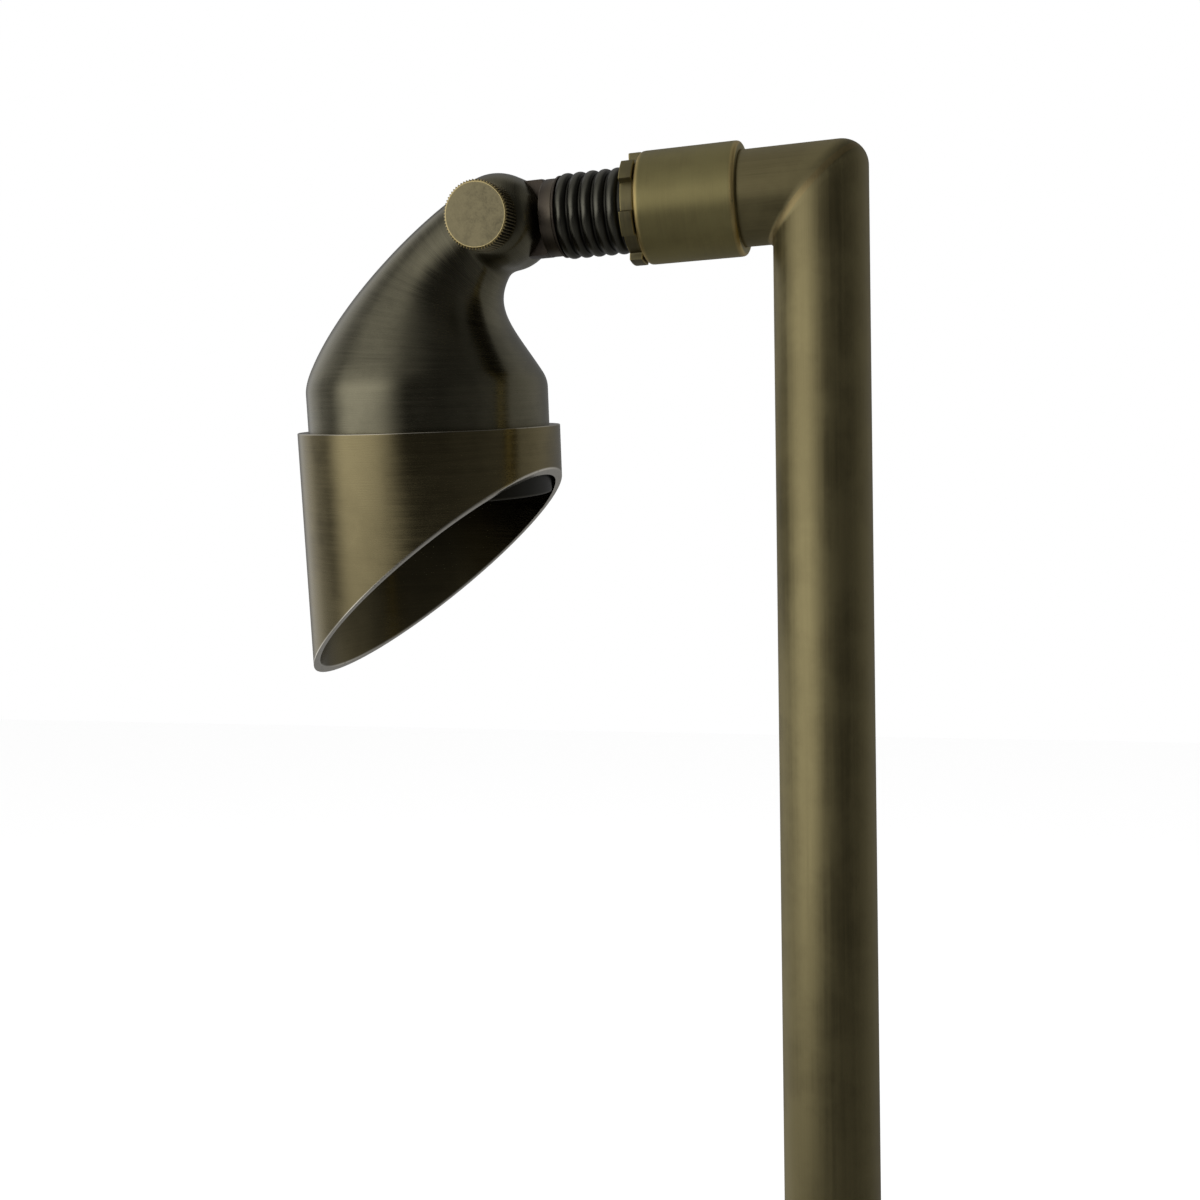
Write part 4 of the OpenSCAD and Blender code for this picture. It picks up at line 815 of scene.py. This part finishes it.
material, tree, shader = newMaterial("studioFloor")
seen = addNode(tree, "ShaderNodeLightPath").outputs["Is Camera Ray"]
feed(tree, shader, {"Roughness": 0.9, "Base Color": studio["floorColour"], "Emission Color": (1, 1, 1, 1),
                    "Emission Strength": times(tree, seen, studio["floorGlow"])})
floorMesh.materials.append(material)

world = bpy.data.worlds.new("studio")
bpy.context.scene.world = world
world.use_nodes = True
tree = world.node_tree
background = tree.nodes["Background"]
seenAlong = addNode(tree, "ShaderNodeTexCoord").outputs["Generated"]
x, y, z = addNode(tree, "ShaderNodeSeparateXYZ", {0: seenAlong}).outputs
path = addNode(tree, "ShaderNodeLightPath")

# Metal sees the surround with its gaps: a level for each bearing from the front, positive to the right, and
# a panel to the left whose right edge slants outwards below the horizon and whose light falls off above it.
# Both pass into one level overhead and one underneath.
bearing = mathNode(tree, "ARCTAN2", x, times(tree, y, -1.0))
drop = mathNode(tree, "MAXIMUM", times(tree, z, -1.0), 0.0)
lean = mathNode(tree, "MAXIMUM", mathNode(tree, "SUBTRACT", drop, studio["shearFrom"]), 0.0)
slanted = plus(tree, bearing, times(tree, lean, np.radians(studio["shear"])))
panel = times(tree, ramped(tree, bearing, *np.radians(studio["panelLeft"])),
              ramped(tree, slanted, *np.radians(studio["panelRight"]), 1.0, 0.0))
panel = times(tree, panel, ramped(tree, z, *studio["panelTop"]))
panel = times(tree, panel, ramped(tree, z, *studio["panelFoot"]))
share = plus(tree, mathNode(tree, "DIVIDE", bearing, 2 * np.pi), 0.5)
ring = addNode(tree, "ShaderNodeValToRGB", {"Fac": share})
ring.color_ramp.interpolation = "EASE"
stops = ring.color_ramp.elements
while len(stops) < len(studio["bearings"]):
    stops.new(0.5)
for stop, (degrees, level) in zip(stops, studio["bearings"]):
    stop.position = degrees / 360 + 0.5
for stop, (degrees, level) in zip(stops, studio["bearings"]):
    stop.color = (level, level, level, 1)
around = times(tree, plus(tree, ring.outputs["Color"], panel), studio["gain"])


def passedInto(level, source, low, high, target):
    """The level fades to the target as the source rises from low to high."""
    fade = ramped(tree, source, low, high)
    kept = times(tree, level, mathNode(tree, "SUBTRACT", 1.0, fade))
    return plus(tree, kept, times(tree, fade, target))


around = passedInto(around, z, *studio["aboveFade"], ramped(tree, x, *studio["above"]))
around = passedInto(around, drop, *studio["belowFade"], ramped(tree, x, *studio["below"]))
glossy = path.outputs["Is Glossy Ray"]
soft = times(tree, mathNode(tree, "SUBTRACT", 1.0, glossy), studio["ambient"])
level = plus(tree, times(tree, around, glossy), soft)
seen = mathNode(tree, "MAXIMUM", path.outputs["Is Camera Ray"], path.outputs["Is Transmission Ray"])
feed(tree, background, {"Color": (1, 1, 1, 1), "Strength": mathNode(tree, "MAXIMUM", level, seen)})
world.cycles.sampling_method = "NONE"  # so that the kinds of ray keep their own levels

panels = [("keyPanel", (-0.95, -0.98, 0.38), (1.0, 1.7), 6.8),
          ("topPanel", (0.0, -0.25, 1.5), (1.2, 0.9), 2.6)]
for name, place, size, power in panels:
    data = bpy.data.lights.new(name, "AREA")
    data.shape, data.size, data.size_y, data.energy = "RECTANGLE", size[0], size[1], power
    lightObject = addObject(name, data)
    lightObject.visible_glossy = False  # the surround stands for it there
    lightObject.location = place
    aim = Matrix.Translation(studio["aim"]).translation - lightObject.location
    lightObject.rotation_euler = aim.to_track_quat("-Z", "Y").to_euler()

# Camera: yaw towards +X, a little pitch, and a roll, all measured on the photograph's edges
view = {"place": (38.5, -305.1, 352.0), "yaw": 17.03, "pitch": 0.29, "roll": 0.73, "focal": 1300 / 1200,
        "sensor": 36.0}
yaw, pitch, roll = (np.radians(view[k]) for k in ("yaw", "pitch", "roll"))
back = np.array([np.sin(yaw) * np.cos(pitch), -np.cos(yaw) * np.cos(pitch), np.sin(pitch)])
right = np.array([np.cos(yaw), np.sin(yaw), 0])
up = np.cross(back, right)
right, up = np.cos(roll) * right - np.sin(roll) * up, np.sin(roll) * right + np.cos(roll) * up
camera = addObject("camera", bpy.data.cameras.new("camera"))
camera.data.sensor_width = view["sensor"]
camera.data.lens = view["sensor"] * view["focal"]
camera.data.clip_start = 0.01
placed = np.eye(4)
placed[:3, 0], placed[:3, 1], placed[:3, 2], placed[:3, 3] = right, up, back, np.array(view["place"]) * mm
camera.matrix_world = Matrix(placed.tolist())
bpy.context.scene.camera = camera
bpy.context.scene.view_settings.view_transform = "Standard"
print("studio made")
